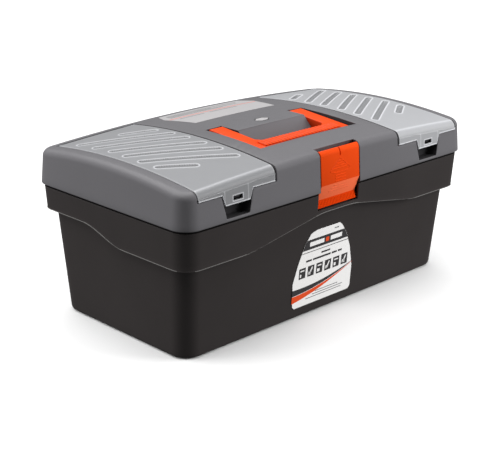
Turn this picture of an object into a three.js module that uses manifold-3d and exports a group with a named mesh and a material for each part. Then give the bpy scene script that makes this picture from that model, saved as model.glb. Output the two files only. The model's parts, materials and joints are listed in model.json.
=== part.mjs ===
// A moulded carpenter toolbox: a tapered tub with a collar, a crowned lid on two rear hinges, a fold-down
// carrying handle, a front latch, two hinged organizer covers in the lid, and a lift-out tool tray.
// Millimetres, +Z up, the front faces -Y. The origin is the centre of the footprint on the floor.
import * as THREE from "three";
import { mergeVertices } from "three/addons/utils/BufferGeometryUtils.js";
import Module from "manifold-3d";

const wasm = await Module();
wasm.setup();

// ---------------------------------------------------------------- driving dimensions
const clear = 0.3; // between pieces that touch
const lidLength = 430; // along X at the rim
const lidWidth = 235; // along Y at the rim
const cornerRadius = 19.5; // in plan, at the rim
const rimHeight = 140.2; // underside of the lid above the floor
const lidHeight = 51.3; // top of the crown above the rim
const crownDropX = 8.46; // how far the crown falls from the middle to an end
const crownDropY = 8.84; // how far the crown falls from the middle to the front or back
const lidDraft = 0.053; // slope of the lid's walls
const lidWall = 2.2;
const edgeRadius = 7; // between the lid's walls and its crown
const halfLength = lidLength / 2;
const halfWidth = lidWidth / 2;
const totalHeight = rimHeight + lidHeight;

const footInsetX = 16.5; // how far the tub's bottom stands in from the lid's rim, at an end
const footInsetY = 20.5; // and along a side
const footRound = 4.5; // edge between bottom and walls
const bodyDraftX = 0.058; // slope of the tub's end walls
const bodyDraftY = 0.078; // slope of the tub's long walls
const tubWall = 2.4;
const tubFloor = 2.8;
const collarInset = 2; // how far the collar stands inside the lid's rim
const collarDraft = 0.05;
const collarHeight = 41.2; // at the front corners, measured down from the rim
const collarEndRise = 14.5; // how much higher its lower edge is along the rear half
const collarArchRise = 18; // how much higher it is under the latch
const collarEndSlope = { front: -20, rear: 38 }; // where the ends' lower edge climbs
const collarArchSlope = { inner: 24, outer: 124 }; // where the front's lower edge climbs
const lipHeight = 4.8; // the tub's lip inside the lid
const lipWall = 1.4;
const lipGap = 0.5; // between the lip and the lid's wall
const footX = halfLength - footInsetX;
const footY = halfWidth - footInsetY;
const collarLow = rimHeight - collarHeight;

const hingeFromEnd = 85; // middle of a rear hinge to the lid's end
const hingeLeaf = 12; // length of one knuckle
const hingeBarrel = 3.5; // knuckle radius
const hingeStandOff = 7.5; // how far the knuckles reach behind the rim
const hingePinRadius = 1.5;
const hingeWeb = { reach: 4.5, height: 6.5 }; // what ties a knuckle to the collar
const hingeX = halfLength - hingeFromEnd;

const handleOuter = 70; // half width of the handle
const handleInner = 51; // half width of the gap between its arms
const handleRear = 7; // rear end of the arms
const pivotFromRear = 5; // the handle's axis to the arms' rear end
const handleTop = 5; // top of the arms above the axis
const handleSink = 0.3; // top of the arms under the top of the crown
const armHeight = 10.5;
const armFall = 0.092; // slope of the arms down towards the grip
const handleReach = 77; // from the arms' rear end to the grip's front
const gripWidth = 20;
const handlePinRadius = 2.5;
const handleGap = { side: 3.2, rear: 1.5, front: 3.4, under: 8.5 }; // room round the handle
const scoopTop = -17.5; // where the finger scoop starts
const scoopRun = 24.5; // length of the scoop's slope
const scoopDepth = 26.5; // under the top of the crown
const recessWall = 3; // of the casing round the handle's recess
const handlePivot = { y: handleRear - pivotFromRear, z: totalHeight - handleSink - handleTop };
const gripFront = handleRear - handleReach;
const gripRear = gripFront + gripWidth;
const recessOuter = handleOuter + handleGap.side;
const recessRear = handleRear + handleGap.rear;
const recessFront = gripFront - handleGap.front;
const scoopFloor = totalHeight - scoopDepth;

const coverFromRecess = 20.8; // the handle's recess to a cover's inner edge
const coverFromEnd = 19; // the lid's end to a cover's outer edge
const coverFromRear = 20; // the lid's rear to the covers' hinge line
const coverWall = 2;
const coverSide = 0.8; // gap beside a cover
const coverBarrel = 1.9;
const coverSwing = 2; // room round a cover's barrel for its plate to swing through
const trunnionRadius = 1.5;
const trunnionLength = 3;
const flangeFromRim = 26.8; // lower edge of a cover's front flange above the rim
const tabHeight = 10.7; // of the finger tab below the flange
const tabTopWidth = 40;
const tabLowWidth = 32.5;
const tabWindow = { width: 12, height: 4.3, low: 3.7 }; // low is above the tab's lower edge
const notchFromRim = 3.3; // lower edge of the finger notch under a tab, above the rim
const notchLowWidth = 30;
const notchDepth = 12;
const coverInner = recessOuter + coverFromRecess;
const coverOuter = halfLength - coverFromEnd;
const coverRear = halfWidth - coverFromRear;
const flangeLow = rimHeight + flangeFromRim;
const tabLow = flangeLow - tabHeight;
const tabMiddle = (coverInner + coverOuter) / 2 + 1;
const notchLow = rimHeight + notchFromRim;

const wellFromRim = 10.3; // floor of the organizer wells above the rim
const wellWall = 3.5; // beside a well, under the cover's edge
const wellFromHinge = 5.5; // rear wall of a well to the covers' hinge line
const wellFromFront = 16.5; // front wall of a well to the lid's front
const wellCorner = 8;
const dividerWall = 1.5;
const dividerFromFront = 85.5; // the cross dividers to the lid's front
const wellFloor = rimHeight + wellFromRim;
const wellRear = coverRear - wellFromHinge;
const wellFront = wellFromFront - halfWidth;

const latchWidth = 59;
const latchWall = 2.6;
const latchLap = 11.1; // rear of the latch's slot in the crown, behind the front
const latchWrap = 62; // degrees that the latch wraps round the lid's front edge
const latchKneeFromRim = 6.8; // where the latch starts to lean in
const latchFoldReach = { in: 6.5, down: 9.7 }; // innermost line, from the rim's front edge
const latchFootReach = { in: 4.3, down: 17.9 };
const latchPivotDepth = { in: 6.6, down: 12.5 }; // from the front and from the top of the crown
const latchPinRadius = 1.3;
const latchBarrel = 3.2;
const latchSlit = { width: 1.6, length: 17.5 };
const pocketFromRim = 20.7; // lower edge of the tub's pocket behind the latch
const pocketDepth = 6.8;
const catchHalf = 16; // half length of the catch bar
const catchRise = { foot: 3.5, low: 5, high: 8, top: 9 }; // of the catch bar above the latch's fold
const pinHold = 3.5; // how far a pin reaches into its holder
const latchRear = latchLap - halfWidth;
const latchKnee = rimHeight + latchKneeFromRim;
const latchFold = { y: latchFoldReach.in - halfWidth, z: rimHeight - latchFoldReach.down };
const latchFoot = { y: latchFootReach.in - halfWidth, z: rimHeight - latchFootReach.down };
const latchPivot = { y: latchPivotDepth.in - halfWidth, z: totalHeight - latchPivotDepth.down };
const frontBlock = { beside: 4, depth: 17 }; // the lid's thicker front behind the tabs and the latch
const notchBlockHalf = tabTopWidth / 2 + frontBlock.beside;
const latchBlockHalf = latchWidth / 2 + coverSide + frontBlock.beside;

const trayFromCollar = 17.3; // what the tray's rim rests on, above the collar's lower edge
const trayRim = 3;
const trayDepth = 38;
const trayWall = 2;
const traySlope = 0.06; // draft of the tray's walls
const trayGap = 3; // between the tray and the tub's walls
const trayGripUnderLid = 4.2; // top of the tray's grip under the rim
const trayGrip = { half: 70, thick: 10, handHalf: 52, handLow: 30, handHigh: 9 };
const trayDividerX = 120;
const trayPost = { from: 4, to: 16, front: 5 }; // under the rim: along X from a tab's middle
const trayRimLap = { x: 2, y: 3 }; // how far the rim reaches past the tub's inner wall
const trayRest = collarLow + trayFromCollar;
const trayGripTop = rimHeight - trayGripUnderLid;
const gripGapLow = trayGripTop - trayGrip.handLow;
const spineWall = 2; // low wall along the tray's middle
const socketWall = 2; // round the feet of the tray's grip
const socketHeight = 14;

const labelWall = 0.4;
const topLabelSize = { front: 38, depth: 61, half: 60, waist: 42, waistHalf: 68 }; // front is its y

// ---------------------------------------------------------------- solids
// A three.js geometry as a solid, with its shared vertices merged.
function solid(geometry) {
  const bare = geometry.index ? geometry.toNonIndexed() : geometry.clone();
  for (const name of Object.keys(bare.attributes)) if (name !== "position") bare.deleteAttribute(name);
  const merged = mergeVertices(bare, 1e-4);
  return new wasm.Manifold(new wasm.Mesh({
    numProp: 3,
    vertProperties: new Float32Array(merged.attributes.position.array),
    triVerts: new Uint32Array(merged.index.array),
  }));
}

const join = (first, ...others) => others.reduce((all, one) => all.add(one), first);
const cut = (first, ...others) => others.reduce((all, one) => all.subtract(one), first);

// A box between two values on each axis, in either order.
function box([x0, x1], [y0, y1], [z0, z1]) {
  const size = new THREE.BoxGeometry(Math.abs(x1 - x0), Math.abs(y1 - y0), Math.abs(z1 - z0));
  return solid(size.translate((x0 + x1) / 2, (y0 + y1) / 2, (z0 + z1) / 2));
}

const shapeOf = (points) => new THREE.Shape(points.map(([a, b]) => new THREE.Vector2(a, b)));

// Outlines carried along one axis: a plan along Z, a front view (x, z) along Y, a side view (y, z) along X.
function alongZ(shape, z0, z1) {
  const options = { depth: z1 - z0, bevelEnabled: false, curveSegments: 3 };
  const geometry = new THREE.ExtrudeGeometry(shape, options);
  return solid(geometry.translate(0, 0, z0));
}
function alongY(points, y0, y1) {
  const geometry = new THREE.ExtrudeGeometry(shapeOf(points), { depth: y1 - y0, bevelEnabled: false });
  return solid(geometry.rotateX(Math.PI / 2).translate(0, y1, 0));
}
function alongX(points, x0, x1) {
  const geometry = new THREE.ExtrudeGeometry(shapeOf(points), { depth: x1 - x0, bevelEnabled: false });
  return solid(geometry.rotateX(Math.PI / 2).rotateZ(Math.PI / 2).translate(x0, 0, 0));
}

// A rod from one point to another.
function rod(from, to, radius, sides = 16) {
  const a = new THREE.Vector3(...from);
  const b = new THREE.Vector3(...to);
  const along = b.clone().sub(a);
  const geometry = new THREE.CylinderGeometry(radius, radius, along.length(), sides);
  const turn = new THREE.Quaternion();
  turn.setFromUnitVectors(new THREE.Vector3(0, 1, 0), along.normalize());
  return solid(geometry.applyQuaternion(turn).translate(...a.add(b).multiplyScalar(0.5).toArray()));
}
const rodX = (x0, x1, { y, z }, radius, sides) => rod([x0, y, z], [x1, y, z], radius, sides);

// One ring of a loft: a rounded rectangle walked anticlockwise, its height given by a function of x and y.
const cornerSteps = 4;
const longSteps = 10;
const shortSteps = 6;
function ring(halfX, halfY, radius, height) {
  const points = [];
  const corners = [[1, -1, -90], [1, 1, 0], [-1, 1, 90], [-1, -1, 180]];
  corners.forEach(([sx, sy, start], k) => {
    const cx = sx * (halfX - radius);
    const cy = sy * (halfY - radius);
    for (let i = 0; i <= cornerSteps; i++) {
      const angle = THREE.MathUtils.degToRad(start + (90 * i) / cornerSteps);
      points.push([cx + radius * Math.cos(angle), cy + radius * Math.sin(angle)]);
    }
    const steps = k % 2 ? longSteps : shortSteps;
    const [x, y] = points.at(-1);
    for (let i = 1; i < steps; i++) {
      const t = i / steps;
      if (k % 2) points.push([x + (-2 * cx) * t, y]);
      else points.push([x, y + (-2 * cy) * t]);
    }
  });
  return points.map(([x, y]) => [x, y, typeof height === "function" ? height(x, y) : height]);
}

// Rings from the bottom up, skinned and closed with a fan at each end.
function loft(rings, apex) {
  const count = rings[0].length;
  const middle = (points) => [0, 1, 2].map((k) => points.reduce((sum, p) => sum + p[k], 0) / count);
  const positions = [...rings.flat(), middle(rings[0]), apex ?? middle(rings.at(-1))];
  const foot = rings.length * count;
  const index = [];
  for (let i = 0; i < count; i++) {
    const next = (i + 1) % count;
    index.push(foot, next, i);
    for (let r = 0; r < rings.length - 1; r++) {
      const a = r * count;
      index.push(a + i, a + next, a + count + next, a + i, a + count + next, a + count + i);
    }
    const top = (rings.length - 1) * count;
    index.push(top + i, top + next, foot + 1);
  }
  const geometry = new THREE.BufferGeometry();
  geometry.setAttribute("position", new THREE.Float32BufferAttribute(positions.flat(), 3));
  geometry.setIndex(index);
  return solid(geometry);
}

// ---------------------------------------------------------------- the lid's outer form
const crown = (x, y) =>
  totalHeight - crownDropX * (x / halfLength) ** 2 - crownDropY * (y / halfWidth) ** 2;
const lidFront = (z) => -(halfWidth - lidDraft * (z - rimHeight));

// y of the latch's rear face between its knee and its fold.
const latchRearFace = (z) =>
  THREE.MathUtils.mapLinear(z, latchKnee - 1, latchFold.z, lidFront(latchKnee), latchFold.y) + latchWall;

// The lid as a full body, drawn in by inset on every side, standing on the height bottom.
function lidBody(inset, bottom = rimHeight) {
  const radius = edgeRadius - inset;
  const wallTop = totalHeight - edgeRadius - rimHeight;
  const sizeAt = (z) => lidDraft * (z - rimHeight) + inset;
  const drawn = (offset, height) =>
    ring(halfLength - offset, halfWidth - offset, Math.max(cornerRadius - offset, 1), height);
  const rings = [drawn(sizeAt(bottom), bottom)];
  const shoulder = lidDraft * wallTop + inset;
  const arcSteps = 3;
  for (let i = 0; i <= arcSteps; i++) {
    const angle = (Math.PI / 2) * (i / arcSteps);
    rings.push(drawn(shoulder + radius * (1 - Math.cos(angle)),
      (x, y) => crown(x, y) - inset - radius * (1 - Math.sin(angle))));
  }
  const flat = shoulder + radius;
  for (const share of [0.8, 0.55, 0.3]) {
    rings.push(ring((halfLength - flat) * share, (halfWidth - flat) * share, (cornerRadius - flat) * share,
      (x, y) => crown(x, y) - inset));
  }
  return loft(rings, [0, 0, totalHeight - inset]);
}

// ---------------------------------------------------------------- tub
const collarTop = rimHeight - clear;
const smooth = (t) => {
  const s = THREE.MathUtils.clamp(t, 0, 1);
  return s * s * (3 - 2 * s);
};
const collarHalf = (z) =>
  [halfLength, halfWidth].map((half) => half - collarInset - collarDraft * (rimHeight - z));
const bodyHalf = (z) => [footX + bodyDraftX * z, footY + bodyDraftY * z];

// What lies under the collar's lower edge, raised by lift: the rear half and the latch's arch are
// higher.
function underCollar(lift) {
  const far = halfLength + 20;
  const low = collarLow - 30;
  const steps = 10;
  const side = [[-far, low], [-far, collarLow + lift]];
  for (let i = 0; i <= steps; i++) {
    const t = i / steps;
    const y = THREE.MathUtils.lerp(collarEndSlope.front, collarEndSlope.rear, t);
    side.push([y, collarLow + lift + collarEndRise * smooth(t)]);
  }
  side.push([far, collarLow + lift + collarEndRise], [far, low]);
  const { inner, outer } = collarArchSlope;
  const foot = collarLow + lift;
  const peak = foot + collarArchRise;
  const arch = [[outer, low], [outer, foot], [inner, peak], [-inner, peak], [-outer, foot], [-outer, low]];
  return join(alongX(side, -far, far), alongY(arch, -far, -footY + 20));
}

function collarBody(inset, lift, top) {
  const low = collarLow - 6;
  const at = (z) => {
    const [x, y] = collarHalf(z);
    return ring(x - inset, y - inset, cornerRadius - inset, z);
  };
  return cut(loft([at(low), at(top)]), underCollar(lift));
}

function tubBody(inset, floor, top) {
  const at = (z, extra = 0) => {
    const [x, y] = bodyHalf(z);
    return ring(x - inset - extra, y - inset - extra, cornerRadius - inset - extra * 0.5, z);
  };
  const bend = footRound * 0.3;
  return loft([at(floor, footRound), at(floor + bend, bend), at(floor + footRound), at(top)]);
}

const windowLow = tabLow + tabWindow.low;
const hingeAxis = { y: halfWidth + hingeStandOff - hingeBarrel, z: rimHeight - clear };

// A knuckle's span beside the middle of a hinge: 0 is the lid's, -1 and 1 are the tub's.
function leafSpan(side, place) {
  const middle = side * hingeX + place * (hingeLeaf + clear);
  return [middle - hingeLeaf / 2, middle + hingeLeaf / 2];
}

function makeTub() {
  const lipIn = lidWall + lipGap + lidDraft * lipHeight;
  const [lipX, lipY] = [halfLength - lipIn, halfWidth - lipIn];
  const lipTop = collarTop + lipHeight;
  const lipRing = (inset, z) => ring(lipX - inset, lipY - inset, cornerRadius - lidWall - inset, z);
  const pocketHalf = latchWidth / 2 + 1.5;
  const pocketLow = rimHeight - pocketFromRim;
  const pocketFloor = collarHalf(pocketLow)[1] - pocketDepth;
  const knuckles = [];
  for (const side of [-1, 1]) {
    for (const place of [-1, 1]) {
      const span = leafSpan(side, place);
      knuckles.push(rodX(...span, hingeAxis, hingeBarrel));
      knuckles.push(box(span, [halfWidth - hingeWeb.reach, hingeAxis.y],
        [hingeAxis.z - hingeWeb.height, collarTop - 0.5]));
    }
  }
  const posts = [-1, 1].map((side) =>
    box([side * (tabMiddle + trayPost.from), side * (tabMiddle + trayPost.to)],
      [-halfWidth + trayPost.front, -trayY - 1], [collarLow, trayRest]));
  const pocket = box([-pocketHalf, pocketHalf], [-halfWidth, -pocketFloor], [pocketLow, collarTop + 1]);
  const shell = cut(join(collarBody(0, 0, collarTop), tubBody(0, 0, collarLow + 20),
    loft([lipRing(0, collarTop - 2), lipRing(0, lipTop)])), pocket);
  const room = join(collarBody(tubWall, tubWall, collarTop + 1), tubBody(tubWall, tubFloor, collarTop),
    loft([lipRing(lipWall, collarTop - 3), lipRing(lipWall, lipTop + 1)]));
  const backing = box([-pocketHalf - 3, pocketHalf + 3], [-pocketFloor, -pocketFloor + tubWall + 1],
    [pocketLow - tubWall, collarTop]);
  const lipGaps = [[0, latchBlockHalf], [-tabMiddle, notchBlockHalf], [tabMiddle, notchBlockHalf]].map(
    ([middle, half]) => box([middle - half - 1, middle + half + 1], [-halfWidth, -halfWidth + 20],
      [collarTop, lipTop + 1]));
  const catchFace = latchRearFace(latchFold.z + catchRise.low) + clear;
  const catchBar = alongX([[-pocketFloor + 0.5, latchFold.z + catchRise.foot],
    [catchFace, latchFold.z + catchRise.low], [catchFace, latchFold.z + catchRise.high],
    [-pocketFloor + 0.5, latchFold.z + catchRise.top]], -catchHalf, catchHalf);
  const reach = 1.5 * hingeLeaf + 1;
  const bores = [-1, 1].map((side) =>
    rodX(side * hingeX - reach, side * hingeX + reach, hingeAxis, hingePinRadius + clear));
  return cut(join(cut(shell, room), backing, catchBar, ...posts, ...knuckles), ...bores, ...lipGaps);
}

// ---------------------------------------------------------------- covers
const coverSideZ = (side) => (x) => crown(side * x, coverRear) - coverBarrel;

// The hinge line of a cover, from extra before its inner edge to extra past its outer edge.
function coverLine(side, extra) {
  const z = coverSideZ(side);
  const slope = (z(coverOuter) - z(coverInner)) / (coverOuter - coverInner);
  const at = (x) => [side * x, coverRear, z(coverInner) + slope * (x - coverInner)];
  return [at(coverInner - extra), at(coverOuter + extra)];
}

// The front view of a cover with its tab, grown by grow on every side.
function coverOutline(side, grow) {
  const inner = coverInner - grow;
  const outer = coverOuter + grow;
  const top = tabTopWidth / 2 + grow;
  const low = tabLowWidth / 2 + grow;
  const above = totalHeight + 50;
  return [[inner, above], [inner, flangeLow - grow], [tabMiddle - top, flangeLow - grow],
    [tabMiddle - low, tabLow - grow], [tabMiddle + low, tabLow - grow], [tabMiddle + top, flangeLow - grow],
    [outer, flangeLow - grow], [outer, above]].map(([x, z]) => [side * x, z]);
}

function makeCover(side, outer, inner) {
  const skin = cut(outer, inner);
  const plate = skin.intersect(alongY(coverOutline(side, 0), -halfWidth - 5, coverRear));
  const barrel = rod(...coverLine(side, 0), coverBarrel, 16);
  const trunnion = rod(...coverLine(side, trunnionLength), trunnionRadius, 16);
  const half = tabWindow.width / 2;
  const window = box([side * (tabMiddle - half), side * (tabMiddle + half)],
    [-halfWidth - 5, -halfWidth + 10], [windowLow, windowLow + tabWindow.height]);
  return cut(join(plate, barrel, trunnion), window);
}

// What a cover needs to be free of in the lid.
function coverSeat(side, under) {
  const seat = cut(alongY(coverOutline(side, coverSide), -halfWidth - 5, coverRear + 0.5), under);
  const swing = rod(...coverLine(side, coverSide + 0.2), coverBarrel + coverSwing, 16);
  const socket = rod(...coverLine(side, trunnionLength + clear), trunnionRadius + clear, 16);
  return join(seat, swing, socket);
}

// ---------------------------------------------------------------- lid
function roundedPlan([x0, x1], [y0, y1], radius) {
  const shape = new THREE.Shape();
  const [left, right] = [Math.min(x0, x1), Math.max(x0, x1)];
  shape.absarc(right - radius, y0 + radius, radius, -Math.PI / 2, 0);
  shape.absarc(right - radius, y1 - radius, radius, 0, Math.PI / 2);
  shape.absarc(left + radius, y1 - radius, radius, Math.PI / 2, Math.PI);
  shape.absarc(left + radius, y0 + radius, radius, Math.PI, Math.PI * 1.5);
  return shape;
}

// Side view of the handle's arm zone and of the finger scoop between the arms.
const openAir = totalHeight + 40;
const armTop = (y) => handlePivot.z + handleTop + armFall * (y - handleRear);
const armFloor = (y) => armTop(y) - armHeight - handleGap.under;
const armRoom = [[recessRear, openAir], [recessRear, armFloor(recessRear)],
  [recessFront, armFloor(recessFront)], [recessFront, openAir]];
const scoopRoom = [[scoopTop, openAir], [scoopTop, totalHeight - 1], [scoopTop - scoopRun, scoopFloor],
  [recessFront + 7, scoopFloor], [recessFront, scoopFloor + 7], [recessFront, openAir]];

// Side view of the latch's outer face and of its inner face moved in by grow, both wrapped round the lid's
// front edge by wrap degrees.
function latchOutline(grow, wrap) {
  const shoulder = lidDraft * (totalHeight - edgeRadius - rimHeight);
  const centre = [-(halfWidth - shoulder - edgeRadius), crown(0, -halfWidth + edgeRadius) - edgeRadius];
  const arc = (radius, from, to) => [0, 1, 2, 3, 4].map((i) => {
    const angle = THREE.MathUtils.degToRad(from + ((to - from) * i) / 4);
    return [centre[0] - radius * Math.cos(angle), centre[1] + radius * Math.sin(angle)];
  });
  const inside = latchWall + grow;
  return {
    outer: [...arc(edgeRadius, wrap, 0), [lidFront(latchKnee), latchKnee]],
    inner: [[latchFold.y + inside, latchFold.z], [lidFront(latchKnee) + inside, latchKnee - 1],
      ...arc(edgeRadius - inside, 0, wrap)],
  };
}

function makeLid() {
  const outer = lidBody(0);
  const under = lidBody(coverWall + clear);
  const pieces = [cut(outer, lidBody(lidWall, rimHeight - 1))];
  const room = [];
  for (const side of [-1, 1]) {
    const inner = coverInner - wellWall;
    const far = coverOuter + wellWall;
    pieces.push(outer.intersect(box([side * inner, side * far], [-halfWidth, coverRear + 6],
      [wellFloor - tubWall, totalHeight])));
    const block = [side * (tabMiddle - notchBlockHalf), side * (tabMiddle + notchBlockHalf)];
    pieces.push(outer.intersect(box(block, [-halfWidth, -halfWidth + frontBlock.depth],
      [rimHeight + 1, flangeLow + 4])));
    room.push(alongZ(roundedPlan([side * (coverInner - coverSide), side * (coverOuter + coverSide)],
      [wellFront, wellRear], wellCorner), wellFloor, totalHeight));
    const top = tabTopWidth / 2 + coverSide;
    const low = notchLowWidth / 2;
    const high = flangeLow - coverSide;
    const notch = [[tabMiddle - low, notchLow], [tabMiddle + low, notchLow], [tabMiddle + top, high],
      [tabMiddle - top, high]].map(([x, z]) => [side * x, z]);
    room.push(alongY(notch, -halfWidth - 5, -halfWidth + notchDepth));
    room.push(coverSeat(side, under));
  }
  pieces.push(outer.intersect(box([-recessOuter - pinHold - 1.5, recessOuter + pinHold + 1.5],
    [recessFront - recessWall, recessRear + recessWall], [scoopFloor - recessWall, totalHeight])));
  const latchHalf = latchWidth / 2 + coverSide;
  pieces.push(outer.intersect(box([-latchBlockHalf, latchBlockHalf],
    [-halfWidth, -halfWidth + frontBlock.depth], [rimHeight, totalHeight])));
  room.push(alongX(armRoom, -recessOuter, -handleInner + 0.5));
  room.push(alongX(armRoom, handleInner - 0.5, recessOuter));
  room.push(alongX(scoopRoom, -handleInner, handleInner));
  room.push(rodX(-recessOuter - pinHold, recessOuter + pinHold, handlePivot, handlePinRadius + clear)
    .subtract(box([-handleInner + 6, handleInner - 6], [-halfWidth, halfWidth], [rimHeight, openAir])));
  const { inner } = latchOutline(clear, 85);
  room.push(alongX([[latchRear, openAir], [-halfWidth - 5, openAir], [-halfWidth - 5, latchFold.z],
    ...inner, [latchRear, crown(0, latchRear) - latchWall - clear]], -latchHalf, latchHalf));
  const swing = Math.hypot(latchRear - latchPivot.y, crown(0, latchRear) - latchPivot.z) + clear;
  room.push(rodX(-latchHalf, latchHalf, latchPivot, swing, 20));
  room.push(rodX(-latchHalf - pinHold, latchHalf + pinHold, latchPivot, latchPinRadius + clear));
  const shell = cut(join(...pieces), ...room);
  const extras = [];
  for (const side of [-1, 1]) {
    const half = tabWindow.width / 2 - 1;
    const catchFront = lidFront(windowLow) + coverWall + clear + 0.3;
    extras.push(alongX([[-halfWidth + notchDepth + 1, windowLow - 2], [catchFront, windowLow + 1],
      [catchFront, windowLow + 3], [-halfWidth + notchDepth + 1, windowLow + 6]],
    side * tabMiddle - half, side * tabMiddle + half));
    const span = leafSpan(side, 0);
    extras.push(rodX(...span, hingeAxis, hingeBarrel));
    extras.push(box(span, [halfWidth - 2, hingeAxis.y], [rimHeight + 0.5, rimHeight + 6]));
  }
  const bores = [-1, 1].map((side) =>
    rodX(side * hingeX - hingeLeaf, side * hingeX + hingeLeaf, hingeAxis, hingePinRadius + clear));
  return cut(join(shell, ...extras), ...bores);
}

// ---------------------------------------------------------------- handle and latch
function makeHandle() {
  const { y: py, z: pz } = handlePivot;
  const low = (y) => armTop(y) - armHeight;
  const side = [[handleRear, pz + 3.4], [handleRear - 1.6, armTop(handleRear - 1.6)],
    [gripFront + 4, armTop(gripFront + 4)], [gripFront, armTop(gripFront) - 3],
    [gripFront, low(gripFront) + 2], [gripFront + 3, low(gripFront)], [py - 4, pz - 5.4], [py, pz - 6],
    [py + 3.6, pz - 4.8], [handleRear, pz - 3.4]];
  const slab = alongX(side, -handleOuter, handleOuter);
  const chamfer = 7;
  const past = handleRear + 5;
  const gap = alongZ(shapeOf([[-handleInner, past], [-handleInner, gripRear + chamfer],
    [-handleInner + chamfer, gripRear], [handleInner - chamfer, gripRear],
    [handleInner, gripRear + chamfer], [handleInner, past]]), rimHeight, openAir);
  const rounding = 5;
  const corners = [-1, 1].map((sign) => alongZ(shapeOf([[sign * (handleOuter - rounding), gripFront - 1],
    [sign * (handleOuter + 1), gripFront - 1], [sign * (handleOuter + 1), gripFront + rounding]]),
  rimHeight, openAir));
  const bore = rodX(-handleOuter - 1, handleOuter + 1, handlePivot, handlePinRadius + clear);
  return cut(slab, gap, ...corners, bore);
}

function makeLatch() {
  const { outer, inner } = latchOutline(0, latchWrap);
  const foot = [[latchFold.y, latchFold.z], [latchFoot.y, latchFoot.z],
    [latchFoot.y + latchWall, latchFoot.z]];
  const half = latchWidth / 2;
  const plate = alongX([...outer, ...foot, ...inner], -half, half);
  const barrel = rodX(-half, half, latchPivot, latchBarrel);
  const slit = box([-latchSlit.width / 2, latchSlit.width / 2], [-halfWidth - 5, latchRear + 10],
    [totalHeight - latchSlit.length, openAir]);
  const bore = rodX(-half - 1, half + 1, latchPivot, latchPinRadius + clear);
  return cut(join(plate, barrel), slit, bore);
}

// ---------------------------------------------------------------- tray and dividers
const [trayX, trayY] = bodyHalf(trayRest).map((half) => half - tubWall - trayGap);
const trayFloor = trayRest - trayDepth;
const reliefHalf = 64; // half length of the rim's relief over the collar's arch

function trayRing(inset, z) {
  const drawn = traySlope * (trayRest - z) + inset;
  return ring(trayX - drawn, trayY - drawn, cornerRadius - 4 - inset, z);
}

function makeTray() {
  const rimX = trayX + trayGap + tubWall + trayRimLap.x;
  const rimY = trayY + trayGap + tubWall + trayRimLap.y;
  const rimLow = trayRest + clear;
  const rim = loft([rimLow, rimLow + trayRim].map((z) => ring(rimX, rimY, cornerRadius - 2, z)));
  const pan = loft([trayRing(0, trayFloor), trayRing(0, rimLow + 1)]);
  const room = loft([trayRing(trayWall, trayFloor + trayWall), trayRing(trayWall, rimLow + trayRim + 4)]);
  const spineHeights = [trayFloor + 1, gripGapLow - 1];
  const spine = box([-trayX + 4, trayX - 4], [-spineWall / 2, spineWall / 2], spineHeights);
  const ribs = [];
  for (const x of [-trayDividerX, trayDividerX]) {
    for (const side of [-1, 1]) {
      for (const beside of [-1, 1]) {
        const middle = x + beside * (dividerWall / 2 + clear + 1);
        ribs.push(box([middle - 1, middle + 1], [side * 0.5, side * 4], spineHeights));
      }
    }
  }
  const relief = box([-reliefHalf, reliefHalf], [-rimY - 1, -trayY - 0.5], [trayRest - 10, trayRest + 20]);
  const sockets = [-1, 1].map((side) =>
    gripLeg(side, clear + socketWall, [trayFloor + 1, trayFloor + socketHeight]));
  const seats = [-1, 1].map((side) => gripLeg(side, clear, [trayFloor + trayWall, trayRest]));
  return cut(join(cut(join(rim, pan), room), spine, ...ribs, ...sockets), relief, ...seats);
}

// One leg of the tray's grip, grown by grow all round.
function gripLeg(side, grow, heights) {
  const { half, thick, handHalf } = trayGrip;
  const deep = thick / 2 + grow;
  return box([side * (handHalf - grow), side * (half + grow)], [-deep, deep], heights);
}

function makeTrayGrip() {
  const { half, thick, handHalf, handHigh } = trayGrip;
  const low = trayFloor + trayWall + clear;
  const frame = box([-half, half], [-thick / 2, thick / 2], [low, trayGripTop]);
  return cut(frame, box([-handHalf, handHalf], [-thick, thick], [low - 1, trayGripTop - handHigh]));
}

function trayDivider(x, side) {
  const reach = trayY - trayWall - traySlope * trayDepth - clear;
  return box([x - dividerWall / 2, x + dividerWall / 2], [side * (1 + clear), side * reach],
    [trayFloor + trayWall + clear, trayRest - 6]);
}

// A plate that stands across an organizer well or along it.
function wellDivider([x0, x1], [y0, y1]) {
  return box([x0, x1], [y0, y1], [wellFloor + clear, crown(coverOuter, wellFront) - coverWall - 4]);
}

// ---------------------------------------------------------------- labels
function frontLabel() {
  const lean = Math.atan(bodyDraftY);
  const outline = [[-50, 15], [-47, 12.5], [38, 12.5], [41, 15.5], [41, 40], [35, 64], [27, 82], [19, 93],
    [15, 96], [-20, 96], [-29, 94], [-38, 82], [-46, 62], [-52, 42]];
  const geometry = new THREE.ExtrudeGeometry(shapeOf(outline), { depth: labelWall, bevelEnabled: false });
  return solid(geometry.rotateX(Math.PI / 2 + lean).translate(0, -footY - clear, 0));
}

// The label behind the handle, cut out of a thin skin over the crown.
function topLabel() {
  const { front, depth, half, waist, waistHalf } = topLabelSize;
  const plan = [[-half, front], [half, front], [waistHalf, front + waist], [half, front + depth],
    [-half, front + depth], [-waistHalf, front + waist]];
  const skin = cut(lidBody(-clear - labelWall), lidBody(-clear));
  return skin.intersect(alongZ(shapeOf(plan), totalHeight - 20, openAir));
}

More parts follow.
